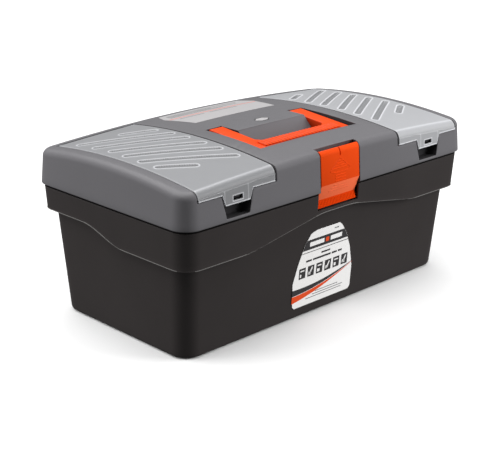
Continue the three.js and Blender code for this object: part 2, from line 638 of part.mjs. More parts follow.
// ---------------------------------------------------------------- assembly
const finish = {
  tub: { color: 0x3a3634, roughness: 0.55, metalness: 0 },
  lid: { color: 0x8d8e93, roughness: 0.5, metalness: 0 },
  cover: { color: 0xc4c8ce, roughness: 0.35, metalness: 0, transparent: true, opacity: 0.85 },
  orange: { color: 0xe8502a, roughness: 0.45, metalness: 0 },
  tray: { color: 0x2b2a2a, roughness: 0.6, metalness: 0 },
  label: { color: 0xe9e9ea, roughness: 0.4, metalness: 0 },
  steel: { color: 0x9a9ca0, roughness: 0.35, metalness: 1 },
};

const toolbox = new THREE.Group();

function place(name, body, look) {
  const { numProp, vertProperties, triVerts } = body.getMesh();
  const positions = new Float32Array((vertProperties.length / numProp) * 3);
  for (let i = 0; i < positions.length / 3; i++) {
    positions.set(vertProperties.subarray(i * numProp, i * numProp + 3), i * 3);
  }
  const geometry = new THREE.BufferGeometry();
  geometry.setAttribute("position", new THREE.BufferAttribute(positions, 3));
  geometry.setIndex(new THREE.BufferAttribute(triVerts, 1));
  geometry.computeVertexNormals();
  const mesh = new THREE.Mesh(geometry, new THREE.MeshStandardMaterial(look));
  mesh.name = name;
  toolbox.add(mesh);
}

place("base_tub", makeTub(), finish.tub);
place("tool_tray", makeTray(), finish.tray);
place("tray_grip", makeTrayGrip(), finish.tray);
place("lid_shell", makeLid(), finish.lid);
place("handle", makeHandle(), finish.orange);
place("latch", makeLatch(), finish.orange);
place("front_label", frontLabel(), finish.label);
place("top_label", topLabel(), finish.label);
const latchPinHalf = latchWidth / 2 + pinHold;
place("latch_pin", rodX(-latchPinHalf, latchPinHalf, latchPivot, latchPinRadius), finish.steel);

const outerBody = lidBody(0);
const coverUnder = lidBody(coverWall);
for (const [side, word] of [[-1, "left"], [1, "right"]]) {
  place(`cover_${word}`, makeCover(side, outerBody, coverUnder), finish.cover);
  const reach = 1.5 * hingeLeaf;
  place(`hinge_pin_${word}`, rodX(side * hingeX - reach, side * hingeX + reach, hingeAxis, hingePinRadius),
    finish.steel);
  const pinEnd = recessOuter + pinHold - clear;
  place(`handle_pin_${word}`, rodX(side * (handleInner + 2), side * pinEnd, handlePivot, handlePinRadius),
    finish.steel);
  place(`tray_divider_${word}_rear`, trayDivider(side * trayDividerX, 1), finish.tray);
  place(`tray_divider_${word}_front`, trayDivider(side * trayDividerX, -1), finish.tray);
  const seam = side * (tabMiddle + 7);
  const half = dividerWall / 2;
  const crossing = dividerFromFront - halfWidth;
  const long = wellDivider([seam - half, seam + half], [wellFront + clear, crossing - half - clear]);
  place(`well_divider_${word}_long`, long, finish.lid);
  const across = [side * (coverInner + clear), side * (coverOuter - clear)];
  place(`well_divider_${word}_cross`, wellDivider(across, [crossing - half, crossing + half]), finish.lid);
}

export default toolbox;
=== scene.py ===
import json
import math

import bmesh
import bpy
import numpy as np
from mathutils import Matrix, Vector


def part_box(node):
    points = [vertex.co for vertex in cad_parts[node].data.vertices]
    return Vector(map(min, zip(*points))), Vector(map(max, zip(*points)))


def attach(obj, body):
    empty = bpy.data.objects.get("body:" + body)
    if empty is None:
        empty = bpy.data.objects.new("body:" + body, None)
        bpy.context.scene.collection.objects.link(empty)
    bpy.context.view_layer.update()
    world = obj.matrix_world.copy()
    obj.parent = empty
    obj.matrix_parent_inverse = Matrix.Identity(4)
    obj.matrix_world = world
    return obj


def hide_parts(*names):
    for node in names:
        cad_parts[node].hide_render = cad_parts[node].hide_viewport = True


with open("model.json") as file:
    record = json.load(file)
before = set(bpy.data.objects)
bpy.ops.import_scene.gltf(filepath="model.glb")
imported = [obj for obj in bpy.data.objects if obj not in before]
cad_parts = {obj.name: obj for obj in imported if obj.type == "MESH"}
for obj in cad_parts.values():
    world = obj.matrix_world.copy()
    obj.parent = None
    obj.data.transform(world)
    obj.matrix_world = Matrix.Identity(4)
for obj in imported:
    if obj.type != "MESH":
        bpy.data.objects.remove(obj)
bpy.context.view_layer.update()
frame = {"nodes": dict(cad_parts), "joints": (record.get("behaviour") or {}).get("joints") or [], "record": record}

# ---------------------------------------------------------------- sizes, in millimetres
def in_mm(place):
    """A place in metres, in millimetres to the nearest hundredth."""
    return [round(value * 1000, 2) for value in place]


def box_in_mm(node):
    """Both corners of a CAD node's box."""
    return [in_mm(corner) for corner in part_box(node)]


lid_low, lid_high = box_in_mm("lid_shell")
handle_low, handle_high = box_in_mm("handle")
latch_low, latch_high = box_in_mm("latch")
anchors = {joint["name"]: in_mm(joint["pos_m"]) for joint in frame["joints"] if "pos_m" in joint}

# the whole box
HALF_LENGTH, HALF_WIDTH, TOP = lid_high[0], -lid_low[1], lid_high[2]
CORNER, RIM, CLEAR, AIR = 19.5, 140.2, 0.3, 240.0
HINGE_Y, HINGE_Z = anchors["lid_hinge"][1:]
HINGE_X, HINGE_LEAF, HINGE_BARREL, HINGE_HOLE = 130.0, 12.0, 3.5, 1.8

# the tub: the leaning body, the collar with its bead and arch, the lip, the pocket and the tray's posts
FOOT_X, FOOT_Y, FOOT_ROUND = 198.5, 97.0, 4.5
BODY_DRAFT_X, BODY_DRAFT_Y = 0.058, 0.078
TUB_WALL, TUB_FLOOR, FLOOR_ROUND = 2.4, 2.8, 4.0
COLLAR_INSET, COLLAR_DRAFT, COLLAR_LOW, COLLAR_TOP = 2.0, 0.05, 99.0, RIM - CLEAR
STEP_X, STEP_Y, BEAD = 205.0, 105.0, 0.34
REAR_CLIMB, REAR_START, REAR_RUN = 14.5, -20.0, 58.0
ARCH_CLIMB, ARCH_OUTER, ARCH_RUN, ARCH_REAR = 18.0, 124.0, 100.0, -77.0
LIP_WALL, LIP_HEIGHT = 1.4, 4.8
POCKET_LOW, POCKET_DEPTH, CATCH_FRONT, CATCH_HALF = 120.7, 6.8, -110.08, 16.0
TRAY_REST, POST_NEAR, POST_FAR, POST_REAR = 116.3, 150.0, 162.0, -97.6

# the lid: the crown's fall to both ends and both sides, the handle's bed and the covers' wells
CROWN_DROP_X, CROWN_DROP_Y = 8.46, 8.84
LID_DRAFT, LID_WALL, LID_EDGE = 0.053, 2.2, 7.0
RECESS_OUTER, RECESS_REAR, RECESS_FRONT = 73.2, 8.5, -73.4
SCOOP_TOP, SCOOP_RUN, SCOOP_FLOOR = -17.5, 24.5, 165.0
WELL_FLOOR, WELL_WALL, WELL_REAR, WELL_FRONT, WELL_CORNER = 150.5, 3.5, 92.0, -101.0, 8.0
NOTCH_LOW, NOTCH_HALF, NOTCH_DEPTH = 143.5, 15.0, 12.0

# the covers: outline, tab, window, hinge line, grooves and the tab's two raised lines
COVER_INNER, COVER_OUTER, COVER_REAR = 94.0, 196.0, anchors["cover_left_hinge"][1]
COVER_WALL, COVER_GAP, COVER_BARREL, COVER_PIN, COVER_HOLE = 2.0, 0.8, 1.9, 1.5, 1.8
FLANGE_LOW, TAB_LOW, TAB_MIDDLE = 167.0, 156.3, 146.0
TAB_TOP_HALF, TAB_LOW_HALF = 20.0, 16.25
WINDOW_LOW, WINDOW_HEIGHT, WINDOW_HALF = 160.0, 4.3, 6.0
GROOVE_HALF, GROOVE_DEPTH, GROOVE_BEAD = 3.5, 1.45, 0.45
TAB_LINES, TAB_LINE_HEIGHT = (17.3, -13.5), 0.28

# the handle and its ribbed grip
HANDLE_OUTER, HANDLE_INNER, HANDLE_REAR = handle_high[0], 51.0, handle_high[1]
GRIP_FRONT, GRIP_REAR, GRIP_CORNER = handle_low[1], -50.0, 7.0
PIVOT_Y, PIVOT_Z = anchors["handle_pivot"][1:]
ARM_HEIGHT, ARM_SLOPE, ARM_OVER_PIVOT, HANDLE_HOLE = 10.5, 0.092, 5.0, 2.8
RIB_REACH, RIB_STEP, RIB_PATCH = 57.5, 5.0, 1.5

# the latch
LATCH_HALF, LATCH_WALL, LATCH_REAR, LATCH_KNEE = latch_high[0], 2.6, -106.4, 147.0
LATCH_FOLD, LATCH_FOOT = (-111.0, 130.5), (-113.2, latch_low[2])
LATCH_PIVOT = anchors["latch_pivot"][1:]
LATCH_WRAP, LATCH_BARREL, LATCH_HOLE = 62.0, 3.2, 1.6


# ---------------------------------------------------------------- meshes
def smooth(t):
    """A soft step: 3 t squared less 2 t cubed, with t held between 0 and 1."""
    s = np.clip(t, 0.0, 1.0)
    return s * s * (3.0 - 2.0 * s)


def ridge(away, half):
    """A soft crest: 1 where away is 0, and 0 from half on."""
    return smooth(1 - np.abs(away) / half)


def quads(rows, columns, closed=True):
    """Quads between neighbours on a grid of rows and columns; closed joins the last column to the first."""
    row = np.arange(rows - 1)[:, None] * columns
    column = np.arange(columns if closed else columns - 1)[None, :]
    after = (column + 1) % columns
    corners = [row + column, row + after, row + columns + after, row + columns + column]
    return np.stack(corners, -1).reshape(-1, 4)


def mesh_of(name, points, faces):
    """A mesh in metres, from points in millimetres and one array of corner numbers for each face size."""
    points = np.asarray(points, float).reshape(-1, 3)
    corners = np.concatenate([f.ravel() for f in faces]).astype(np.int32)
    sizes = np.concatenate([np.full(len(f), f.shape[1]) for f in faces])
    mesh = bpy.data.meshes.new(name)
    mesh.vertices.add(len(points))
    mesh.vertices.foreach_set("co", (points * 0.001).astype(np.float32).ravel())
    mesh.loops.add(len(corners))
    mesh.loops.foreach_set("vertex_index", corners)
    mesh.polygons.add(len(sizes))
    mesh.polygons.foreach_set("loop_start", np.concatenate([[0], np.cumsum(sizes)[:-1]]).astype(np.int32))
    mesh.update(calc_edges=True)
    mesh.validate()
    return mesh


def piece(name, points, faces):
    """An object at the origin that shows mesh_of the same points and faces."""
    made = bpy.data.objects.new(name, mesh_of(name, points, faces))
    bpy.context.scene.collection.objects.link(made)
    return made


def lofted(name, rows):
    """Closed rings stacked from the first to the last, skinned with quads, with a flat face at both ends."""
    rows = np.asarray(rows, float)
    count = rows.shape[1]
    ends = np.stack([np.arange(count)[::-1], np.arange(count) + count * (len(rows) - 1)])
    return piece(name, rows, [quads(len(rows), count), ends])


def outward(made):
    """Turns the faces of a closed mesh outwards."""
    work = bmesh.new()
    work.from_mesh(made.data)
    bmesh.ops.recalc_face_normals(work, faces=work.faces)
    work.to_mesh(made.data)
    work.free()
    return made


def prism(name, outline, low, high, axis="z"):
    """An outline carried straight along an axis: (x, y) along z, (x, z) along y, (y, z) along x."""
    flat = np.asarray(outline, float)
    ends = np.array([low, high], float)[:, None] * np.ones(len(flat))[None, :]
    first, second = [np.broadcast_to(flat[:, k], ends.shape) for k in (0, 1)]
    order = {"z": (first, second, ends), "y": (first, ends, second), "x": (ends, first, second)}[axis]
    return outward(lofted(name, np.stack(order, -1)))


def block(name, x, y, z):
    """A plain box between two limits on each axis."""
    return prism(name, [(x[0], y[0]), (x[1], y[0]), (x[1], y[1]), (x[0], y[1])], z[0], z[1])


def rod(name, start, end, radius, steps=28):
    """A circle carried along the line from start to end."""
    start, end = np.asarray(start, float), np.asarray(end, float)
    along = (end - start) / np.linalg.norm(end - start)
    side = np.cross(along, [0.0, 0.0, 1.0])
    side /= np.linalg.norm(side)
    over = np.cross(along, side)
    turn = np.linspace(0, 2 * np.pi, steps, endpoint=False)[:, None]
    circle = radius * (np.cos(turn) * side + np.sin(turn) * over)
    return outward(lofted(name, np.stack([start + circle, end + circle])))


def settle(made):
    """Makes the modifiers' result the object's own mesh."""
    bpy.context.view_layer.update()
    ready = bpy.data.meshes.new_from_object(made.evaluated_get(bpy.context.evaluated_depsgraph_get()))
    before = made.data
    made.modifiers.clear()
    made.data = ready
    bpy.data.meshes.remove(before)
    return made


def combine(made, others, operation):
    """Joins others to made (UNION) or takes them away from it (DIFFERENCE), one after another."""
    for other in others:
        step = made.modifiers.new("step", "BOOLEAN")
        step.operation = operation
        step.solver = "MANIFOLD"
        step.object = other
    settle(made)
    for other in others:
        bpy.data.objects.remove(other)
    return made


def take(made, *others):
    """Takes the others away from made."""
    return combine(made, others, "DIFFERENCE")


def add(made, *others):
    """Joins the others to made."""
    return combine(made, others, "UNION")


def tidy(made, distance=0.02):
    """Merges points that lie within distance of one another and drops faces without an area."""
    work = bmesh.new()
    work.from_mesh(made.data)
    bmesh.ops.remove_doubles(work, verts=work.verts, dist=distance * 0.001)
    bmesh.ops.dissolve_degenerate(work, edges=work.edges, dist=distance * 0.0005)
    work.to_mesh(made.data)
    work.free()
    return made


def rounded(made, width, steps=2, angle=32):
    """Rounds the edges sharper than angle, by width in millimetres."""
    bevel = made.modifiers.new("edges", "BEVEL")
    bevel.width = width * 0.001
    bevel.segments = steps
    bevel.limit_method = "ANGLE"
    bevel.angle_limit = math.radians(angle)
    bevel.use_clamp_overlap = False
    bevel.harden_normals = False
    return settle(made)


def shaded(made, angle=34):
    """Smooth shading that stays sharp over edges steeper than angle."""
    made.data.polygons.foreach_set("use_smooth", np.ones(len(made.data.polygons), bool))
    made.data.set_sharp_from_angle(angle=math.radians(angle))
    return made


def thickened(made, thickness, even):
    """Gives a sheet its wall, thickness millimetres inwards; even keeps it the same round bends."""
    wall = made.modifiers.new("wall", "SOLIDIFY")
    wall.thickness = thickness * 0.001
    wall.offset = -1
    wall.use_even_offset = even
    return outward(settle(made))


def set_painted_shading(made, values):
    """Keeps one number for every point, which the material turns into painted highlights and painted shade."""
    layer = made.data.attributes.new("painted_shading", "FLOAT", "POINT")
    layer.data.foreach_set("value", values.astype(np.float32).ravel())


def set_zones(made, numbers):
    """Gives every face the number of its material in the list that dress is handed."""
    made.data.polygons.foreach_set("material_index", numbers.astype(np.int32))


def face_middles(made):
    """x, y and z of the middle of every face, in mm."""
    middles = np.zeros(3 * len(made.data.polygons), np.float32)
    made.data.polygons.foreach_get("center", middles)
    return middles.reshape(-1, 3).T * 1000


def merged(made, *others):
    """Adds the other objects' meshes to made's, as shells of their own."""
    for other in others:
        work = bmesh.new()
        work.from_mesh(made.data)
        work.from_mesh(other.data)
        work.to_mesh(made.data)
        work.free()
        bpy.data.objects.remove(other)
    return made


# ---------------------------------------------------------------- rounded-rectangle rings
def ring_walk(long_steps, short_steps, corner_steps):
    """A walk round a rounded rectangle: for each step which corner centre it belongs to, from -1 to 1 on both
    axes, and the unit direction from there."""
    quarter = np.radians(np.linspace(0, 90, corner_steps, endpoint=False))
    u, v, c, s = [], [], [], []
    for k, (sx, sy) in enumerate([(1, -1), (1, 1), (-1, 1), (-1, -1)]):
        turn = quarter + math.radians(90 * k - 90)
        u.append(np.full(corner_steps, float(sx)))
        v.append(np.full(corner_steps, float(sy)))
        c.append(np.cos(turn))
        s.append(np.sin(turn))
        run = np.linspace(1, -1, long_steps if k % 2 else short_steps, endpoint=False)
        u.append([np.full(len(run), 1.0), run, np.full(len(run), -1.0), -run][k])
        v.append([-run, np.full(len(run), 1.0), run, np.full(len(run), -1.0)][k])
        c.append(np.full(len(run), [1.0, 0.0, -1.0, 0.0][k]))
        s.append(np.full(len(run), [0.0, 1.0, 0.0, -1.0][k]))
    return [np.concatenate(part) for part in (u, v, c, s)]


def ring_at(walk, half_x, half_y, radius):
    """x and y of a rounded rectangle at the walk's steps: the corner's centre plus the radius along its
    direction."""
    u, v, c, s = walk
    return u * (half_x - radius) + radius * c, v * (half_y - radius) + radius * s


FINE = ring_walk(128, 64, 14)


# ---------------------------------------------------------------- the lid's outer form
def crown(x, y):
    """Height of the crown: the top less a parabola along the length and one across the width."""
    return TOP - CROWN_DROP_X * (x / HALF_LENGTH) ** 2 - CROWN_DROP_Y * (y / HALF_WIDTH) ** 2


def lid_front(z):
    """y of the lid's front face at height z: it leans in by the lid's draft from the rim up."""
    return -(HALF_WIDTH - LID_DRAFT * (z - RIM))


def lid_rows(inset, bottom, round_low=0.0):
    """Rings of the lid's outer form drawn in by inset: a rounded lower edge, a wall that leans in, a quarter
    circle up to the crown, and rings that shrink over the crown."""
    rows = []

    def ring(offset, height, share=1.0):
        x, y = ring_at(FINE, (HALF_LENGTH - offset) * share, (HALF_WIDTH - offset) * share,
                       max(CORNER - offset, 1.0) * share)
        z = height(x, y) if callable(height) else np.full(x.shape, float(height))
        rows.append(np.stack([x, y, z], -1))

    low = LID_DRAFT * (bottom - RIM) + inset
    for turn in np.radians(np.linspace(0, 90, 5)) if round_low else [math.pi / 2]:
        ring(low + round_low * (1 - math.sin(turn)), bottom + round_low * (1 - math.cos(turn)))
    radius = LID_EDGE - inset
    shoulder = LID_DRAFT * (TOP - LID_EDGE - RIM) + inset
    start = bottom + round_low
    for t in np.linspace(0, 1, 7)[1:-1]:
        ring(low + (shoulder - low) * t,
             lambda x, y: start + (crown(x, y) - inset - radius - start) * t)
    for turn in np.radians(np.linspace(0, 90, 9)):
        ring(shoulder + radius * (1 - math.cos(turn)),
             lambda x, y: crown(x, y) - inset - radius * (1 - math.sin(turn)))
    for share in (0.94, 0.84, 0.74, 0.64, 0.54, 0.44, 0.34, 0.24, 0.14, 0.05):
        ring(shoulder + radius, lambda x, y: crown(x, y) - inset, share)
    return np.array(rows)


def lid_solid(name, inset, bottom=RIM, round_low=0.0):
    """The lid's outer form drawn in by inset, as a closed block."""
    return lofted(name, lid_rows(inset, bottom, round_low))


# ---------------------------------------------------------------- tub
def collar_step(x, y):
    """Height of the collar's lower edge: level at the front corners, a soft step up towards the rear, and at
    the front a straight ramp up to an arch under the latch, its bends softened as the mean of five ramps."""
    rear = REAR_CLIMB * smooth((y - REAR_START) / REAR_RUN)
    ramps = [np.clip((ARCH_OUTER + shift - np.abs(x)) / ARCH_RUN, 0, 1) for shift in (-8, -4, 0, 4, 8)]
    arch = ARCH_CLIMB * sum(ramps) / len(ramps) * (y < ARCH_REAR)
    return COLLAR_LOW + rear + arch


def tub_rows():
    """Rings from the bottom's edge up the outside, over the collar and the lip, and down the inside."""
    rows = []
    base_x, base_y = ring_at(FINE, STEP_X, STEP_Y, CORNER)
    step = collar_step(base_x, base_y)

    def ring(inset, z, form):
        z = np.broadcast_to(np.asarray(z, float), step.shape)
        if form == "body":
            half_x, half_y = FOOT_X + BODY_DRAFT_X * z - inset, FOOT_Y + BODY_DRAFT_Y * z - inset
        elif form == "collar":
            drawn = COLLAR_INSET + COLLAR_DRAFT * (RIM - z) + inset
            half_x, half_y = HALF_LENGTH - drawn, HALF_WIDTH - drawn
        else:
            drawn = LID_WALL + 0.5 + LID_DRAFT * LIP_HEIGHT + inset
            half_x, half_y = HALF_LENGTH - drawn, HALF_WIDTH - drawn
        inner = np.clip(CORNER - inset - (LID_WALL if form == "lip" else 0.0), 1.0, None)
        x, y = ring_at(FINE, half_x, half_y, inner)
        rows.append(np.stack([x, y, z], -1))

    ring(16.0, 0.0, "body")
    for turn in np.radians(np.linspace(0, 90, 7)):
        ring(FOOT_ROUND * (1 - math.sin(turn)), FOOT_ROUND * (1 - math.cos(turn)), "body")
    for t in np.linspace(0, 1, 10)[1:]:
        ring(0.0, FOOT_ROUND + (step - 0.9 - FOOT_ROUND) * t, "body")
    ring(-0.25, step - 0.25, "body")
    ring(-1.0, step, "body")
    ring(0.1, step, "collar")
    for turn in np.radians(np.linspace(0, 90, 4)):
        ring(-BEAD * math.sin(turn), step + BEAD * (1 - math.cos(turn)), "collar")
    ring(-BEAD, step + 0.5, "collar")
    ring(0.0, step + 0.85, "collar")
    top = COLLAR_TOP - 2.0
    for t in np.linspace(0, 1, 7)[1:]:
        ring(0.0, step + 0.85 + (top - 1.0 - step - 0.85) * t, "collar")
    for turn in np.radians(np.linspace(0, 90, 4))[1:]:
        ring(1.0 * (1 - math.cos(turn)), top - 1.0 + math.sin(turn), "collar")
    lip_top = COLLAR_TOP + LIP_HEIGHT
    ring(0.0, top, "lip")
    ring(0.0, lip_top - 0.4, "lip")
    ring(0.4, lip_top, "lip")
    ring(LIP_WALL - 0.4, lip_top, "lip")
    ring(LIP_WALL, lip_top - 0.4, "lip")
    ring(LIP_WALL, COLLAR_TOP - 3.0, "lip")
    for t in np.linspace(0, 1, 5):
        ring(TUB_WALL, COLLAR_TOP - 4.5 + (step + TUB_WALL + 1.0 - COLLAR_TOP + 4.5) * t, "collar")
    ring(TUB_WALL + 1.0, step + TUB_WALL, "collar")
    ring(TUB_WALL - 0.8, step + TUB_WALL, "body")
    for t in np.linspace(0, 1, 8):
        ring(TUB_WALL, step + 1.2 + (TUB_FLOOR + FLOOR_ROUND - step - 1.2) * t, "body")
    for turn in np.radians(np.linspace(0, 90, 5))[1:]:
        ring(TUB_WALL + FLOOR_ROUND * (1 - math.cos(turn)), TUB_FLOOR + FLOOR_ROUND * (1 - math.sin(turn)),
             "body")
    return np.array(rows)


def collar_wall(z):
    """Half width of the collar's outside at height z."""
    return HALF_WIDTH - COLLAR_INSET - COLLAR_DRAFT * (RIM - z)


def leaf(side, place):
    """Both ends in x of a hinge leaf: place is 0 for the lid's and -1 or 1 for the tub's beside it."""
    middle = side * HINGE_X + place * (HINGE_LEAF + CLEAR)
    return middle - HINGE_LEAF / 2, middle + HINGE_LEAF / 2


def hinge_rod(name, x0, x1, radius):
    """A rod on the lid's hinge line."""
    return rod(name, (x0, HINGE_Y, HINGE_Z), (x1, HINGE_Y, HINGE_Z), radius)


def tub():
    """The rings of tub_rows, lofted: each is a rounded rectangle whose half sizes grow with height. The
    knuckles, the tray's posts and the catch are added, and the latch's pocket and the bores taken away. The lip
    near the top is painted a far darker black as painted shade, and the collar's lower bead a lighter one as a
    painted highlight."""
    made = lofted("tub", tub_rows())
    half = LATCH_HALF + 1.5
    floor = collar_wall(POCKET_LOW) - POCKET_DEPTH
    backing = block("backing", (-half - 3, half + 3), (-floor - 0.6, -floor + TUB_WALL + 1),
                    (POCKET_LOW - TUB_WALL, COLLAR_TOP - 0.4))
    extra = [backing]
    for side in (-1, 1):
        extra.append(block("post", sorted((side * POST_NEAR, side * POST_FAR)),
                           (-HALF_WIDTH + 5.5, POST_REAR), (COLLAR_LOW + 1, TRAY_REST)))
        for place in (-1, 1):
            span = leaf(side, place)
            extra.append(hinge_rod("knuckle", *span, HINGE_BARREL))
            extra.append(prism("web", [(HALF_WIDTH - 4.5, HINGE_Z - 9), (HINGE_Y, HINGE_Z - 3.5),
                                       (HINGE_Y, COLLAR_TOP - 0.5), (HALF_WIDTH - 4.5, COLLAR_TOP - 0.5)],
                               span[0], span[1], "x"))
    add(made, *extra)
    cuts = [block("pocket", (-half, half), (-HALF_WIDTH - 2, -floor), (POCKET_LOW, COLLAR_TOP + 1))]
    for middle, reach in ((0, 36.8), (-TAB_MIDDLE, 25), (TAB_MIDDLE, 25)):
        cuts.append(block("gap", (middle - reach, middle + reach), (-HALF_WIDTH - 1, -HALF_WIDTH + 20),
                          (COLLAR_TOP + 0.02, COLLAR_TOP + 10)))
    for side in (-1, 1):
        cuts.append(hinge_rod("bore", side * HINGE_X - 19, side * HINGE_X + 19, HINGE_HOLE))
    take(made, *cuts)
    rounded(tidy(made), 0.35, 2, 40)
    catch = [(-floor + 0.5, 134.0), (CATCH_FRONT, 135.5), (CATCH_FRONT, 138.5), (-floor + 0.5, 139.5)]
    add(made, prism("catch", catch, -CATCH_HALF, CATCH_HALF, "x"))
    x, y, z = face_middles(made)
    # faces of the lip near the top: they take the far darker black, as painted shade under the lid
    lip = (z > COLLAR_TOP - 2.2) & (y < HALF_WIDTH - 3)
    wall = collar_wall(z) - 1.0
    outside = (np.abs(y) > wall) | (np.abs(x) > wall - HALF_WIDTH + HALF_LENGTH)
    # faces along the collar's lower bead: they take a lighter black, as a painted highlight
    bead = outside & (np.abs(z - collar_step(x, y) - 0.25) < 0.65)
    set_zones(made, np.where(bead, 2, lip))
    return shaded(made, 36)


# ---------------------------------------------------------------- lid
def cover_outline(side, grow):
    """The front view of a cover with its tab, grown all round."""
    inner, outer = COVER_INNER - grow, COVER_OUTER + grow
    top, low = TAB_TOP_HALF + grow, TAB_LOW_HALF + grow
    shape = [(inner, 260), (inner, FLANGE_LOW - grow), (TAB_MIDDLE - top, FLANGE_LOW - grow),
             (TAB_MIDDLE - low, TAB_LOW - grow), (TAB_MIDDLE + low, TAB_LOW - grow),
             (TAB_MIDDLE + top, FLANGE_LOW - grow), (outer, FLANGE_LOW - grow), (outer, 260)]
    return [(side * x, z) for x, z in shape]


def cover_line(side, extra):
    """Both ends of a cover's hinge line, extra past its edges; it runs just under the crown."""
    low = crown(COVER_OUTER, COVER_REAR) - COVER_BARREL
    high = crown(COVER_INNER, COVER_REAR) - COVER_BARREL
    slope = (low - high) / (COVER_OUTER - COVER_INNER)
    return [(side * x, COVER_REAR, high + slope * (x - COVER_INNER))
            for x in (COVER_INNER - extra, COVER_OUTER + extra)]


def rounded_plan(x, y, radius, steps=7):
    """A rectangle with quarter-circle corners."""
    left, right = sorted(x)
    points = []
    for k, (cx, cy) in enumerate([(right - radius, y[0] + radius), (right - radius, y[1] - radius),
                                  (left + radius, y[1] - radius), (left + radius, y[0] + radius)]):
        turn = np.radians(np.linspace(0, 90, steps) + 90 * k - 90)
        points.append(np.stack([cx + radius * np.cos(turn), cy + radius * np.sin(turn)], -1))
    return np.concatenate(points)


def arm_top(y):
    """Height of the handle's top: a straight line that falls a little towards the grip."""
    return PIVOT_Z + ARM_OVER_PIVOT + ARM_SLOPE * (y - HANDLE_REAR)


def latch_profile(inside, wrap):
    """Side view of the latch's outer face, round the lid's front edge by wrap degrees and down to the knee,
    and of a face that far inside it, from the fold up."""
    shoulder = LID_DRAFT * (TOP - LID_EDGE - RIM)
    cy = -(HALF_WIDTH - shoulder - LID_EDGE)
    cz = crown(0, -HALF_WIDTH + LID_EDGE) - LID_EDGE

    def arc(radius, start, end):
        turn = np.radians(np.linspace(start, end, 10))
        return list(zip(cy - radius * np.cos(turn), cz + radius * np.sin(turn)))

    outer = [*arc(LID_EDGE, wrap, 0), (lid_front(LATCH_KNEE), LATCH_KNEE)]
    inner = [(LATCH_FOLD[0] + inside, LATCH_FOLD[1]), (lid_front(LATCH_KNEE) + inside, LATCH_KNEE - 1),
             *arc(LID_EDGE - inside, 0, wrap)]
    return outer, inner


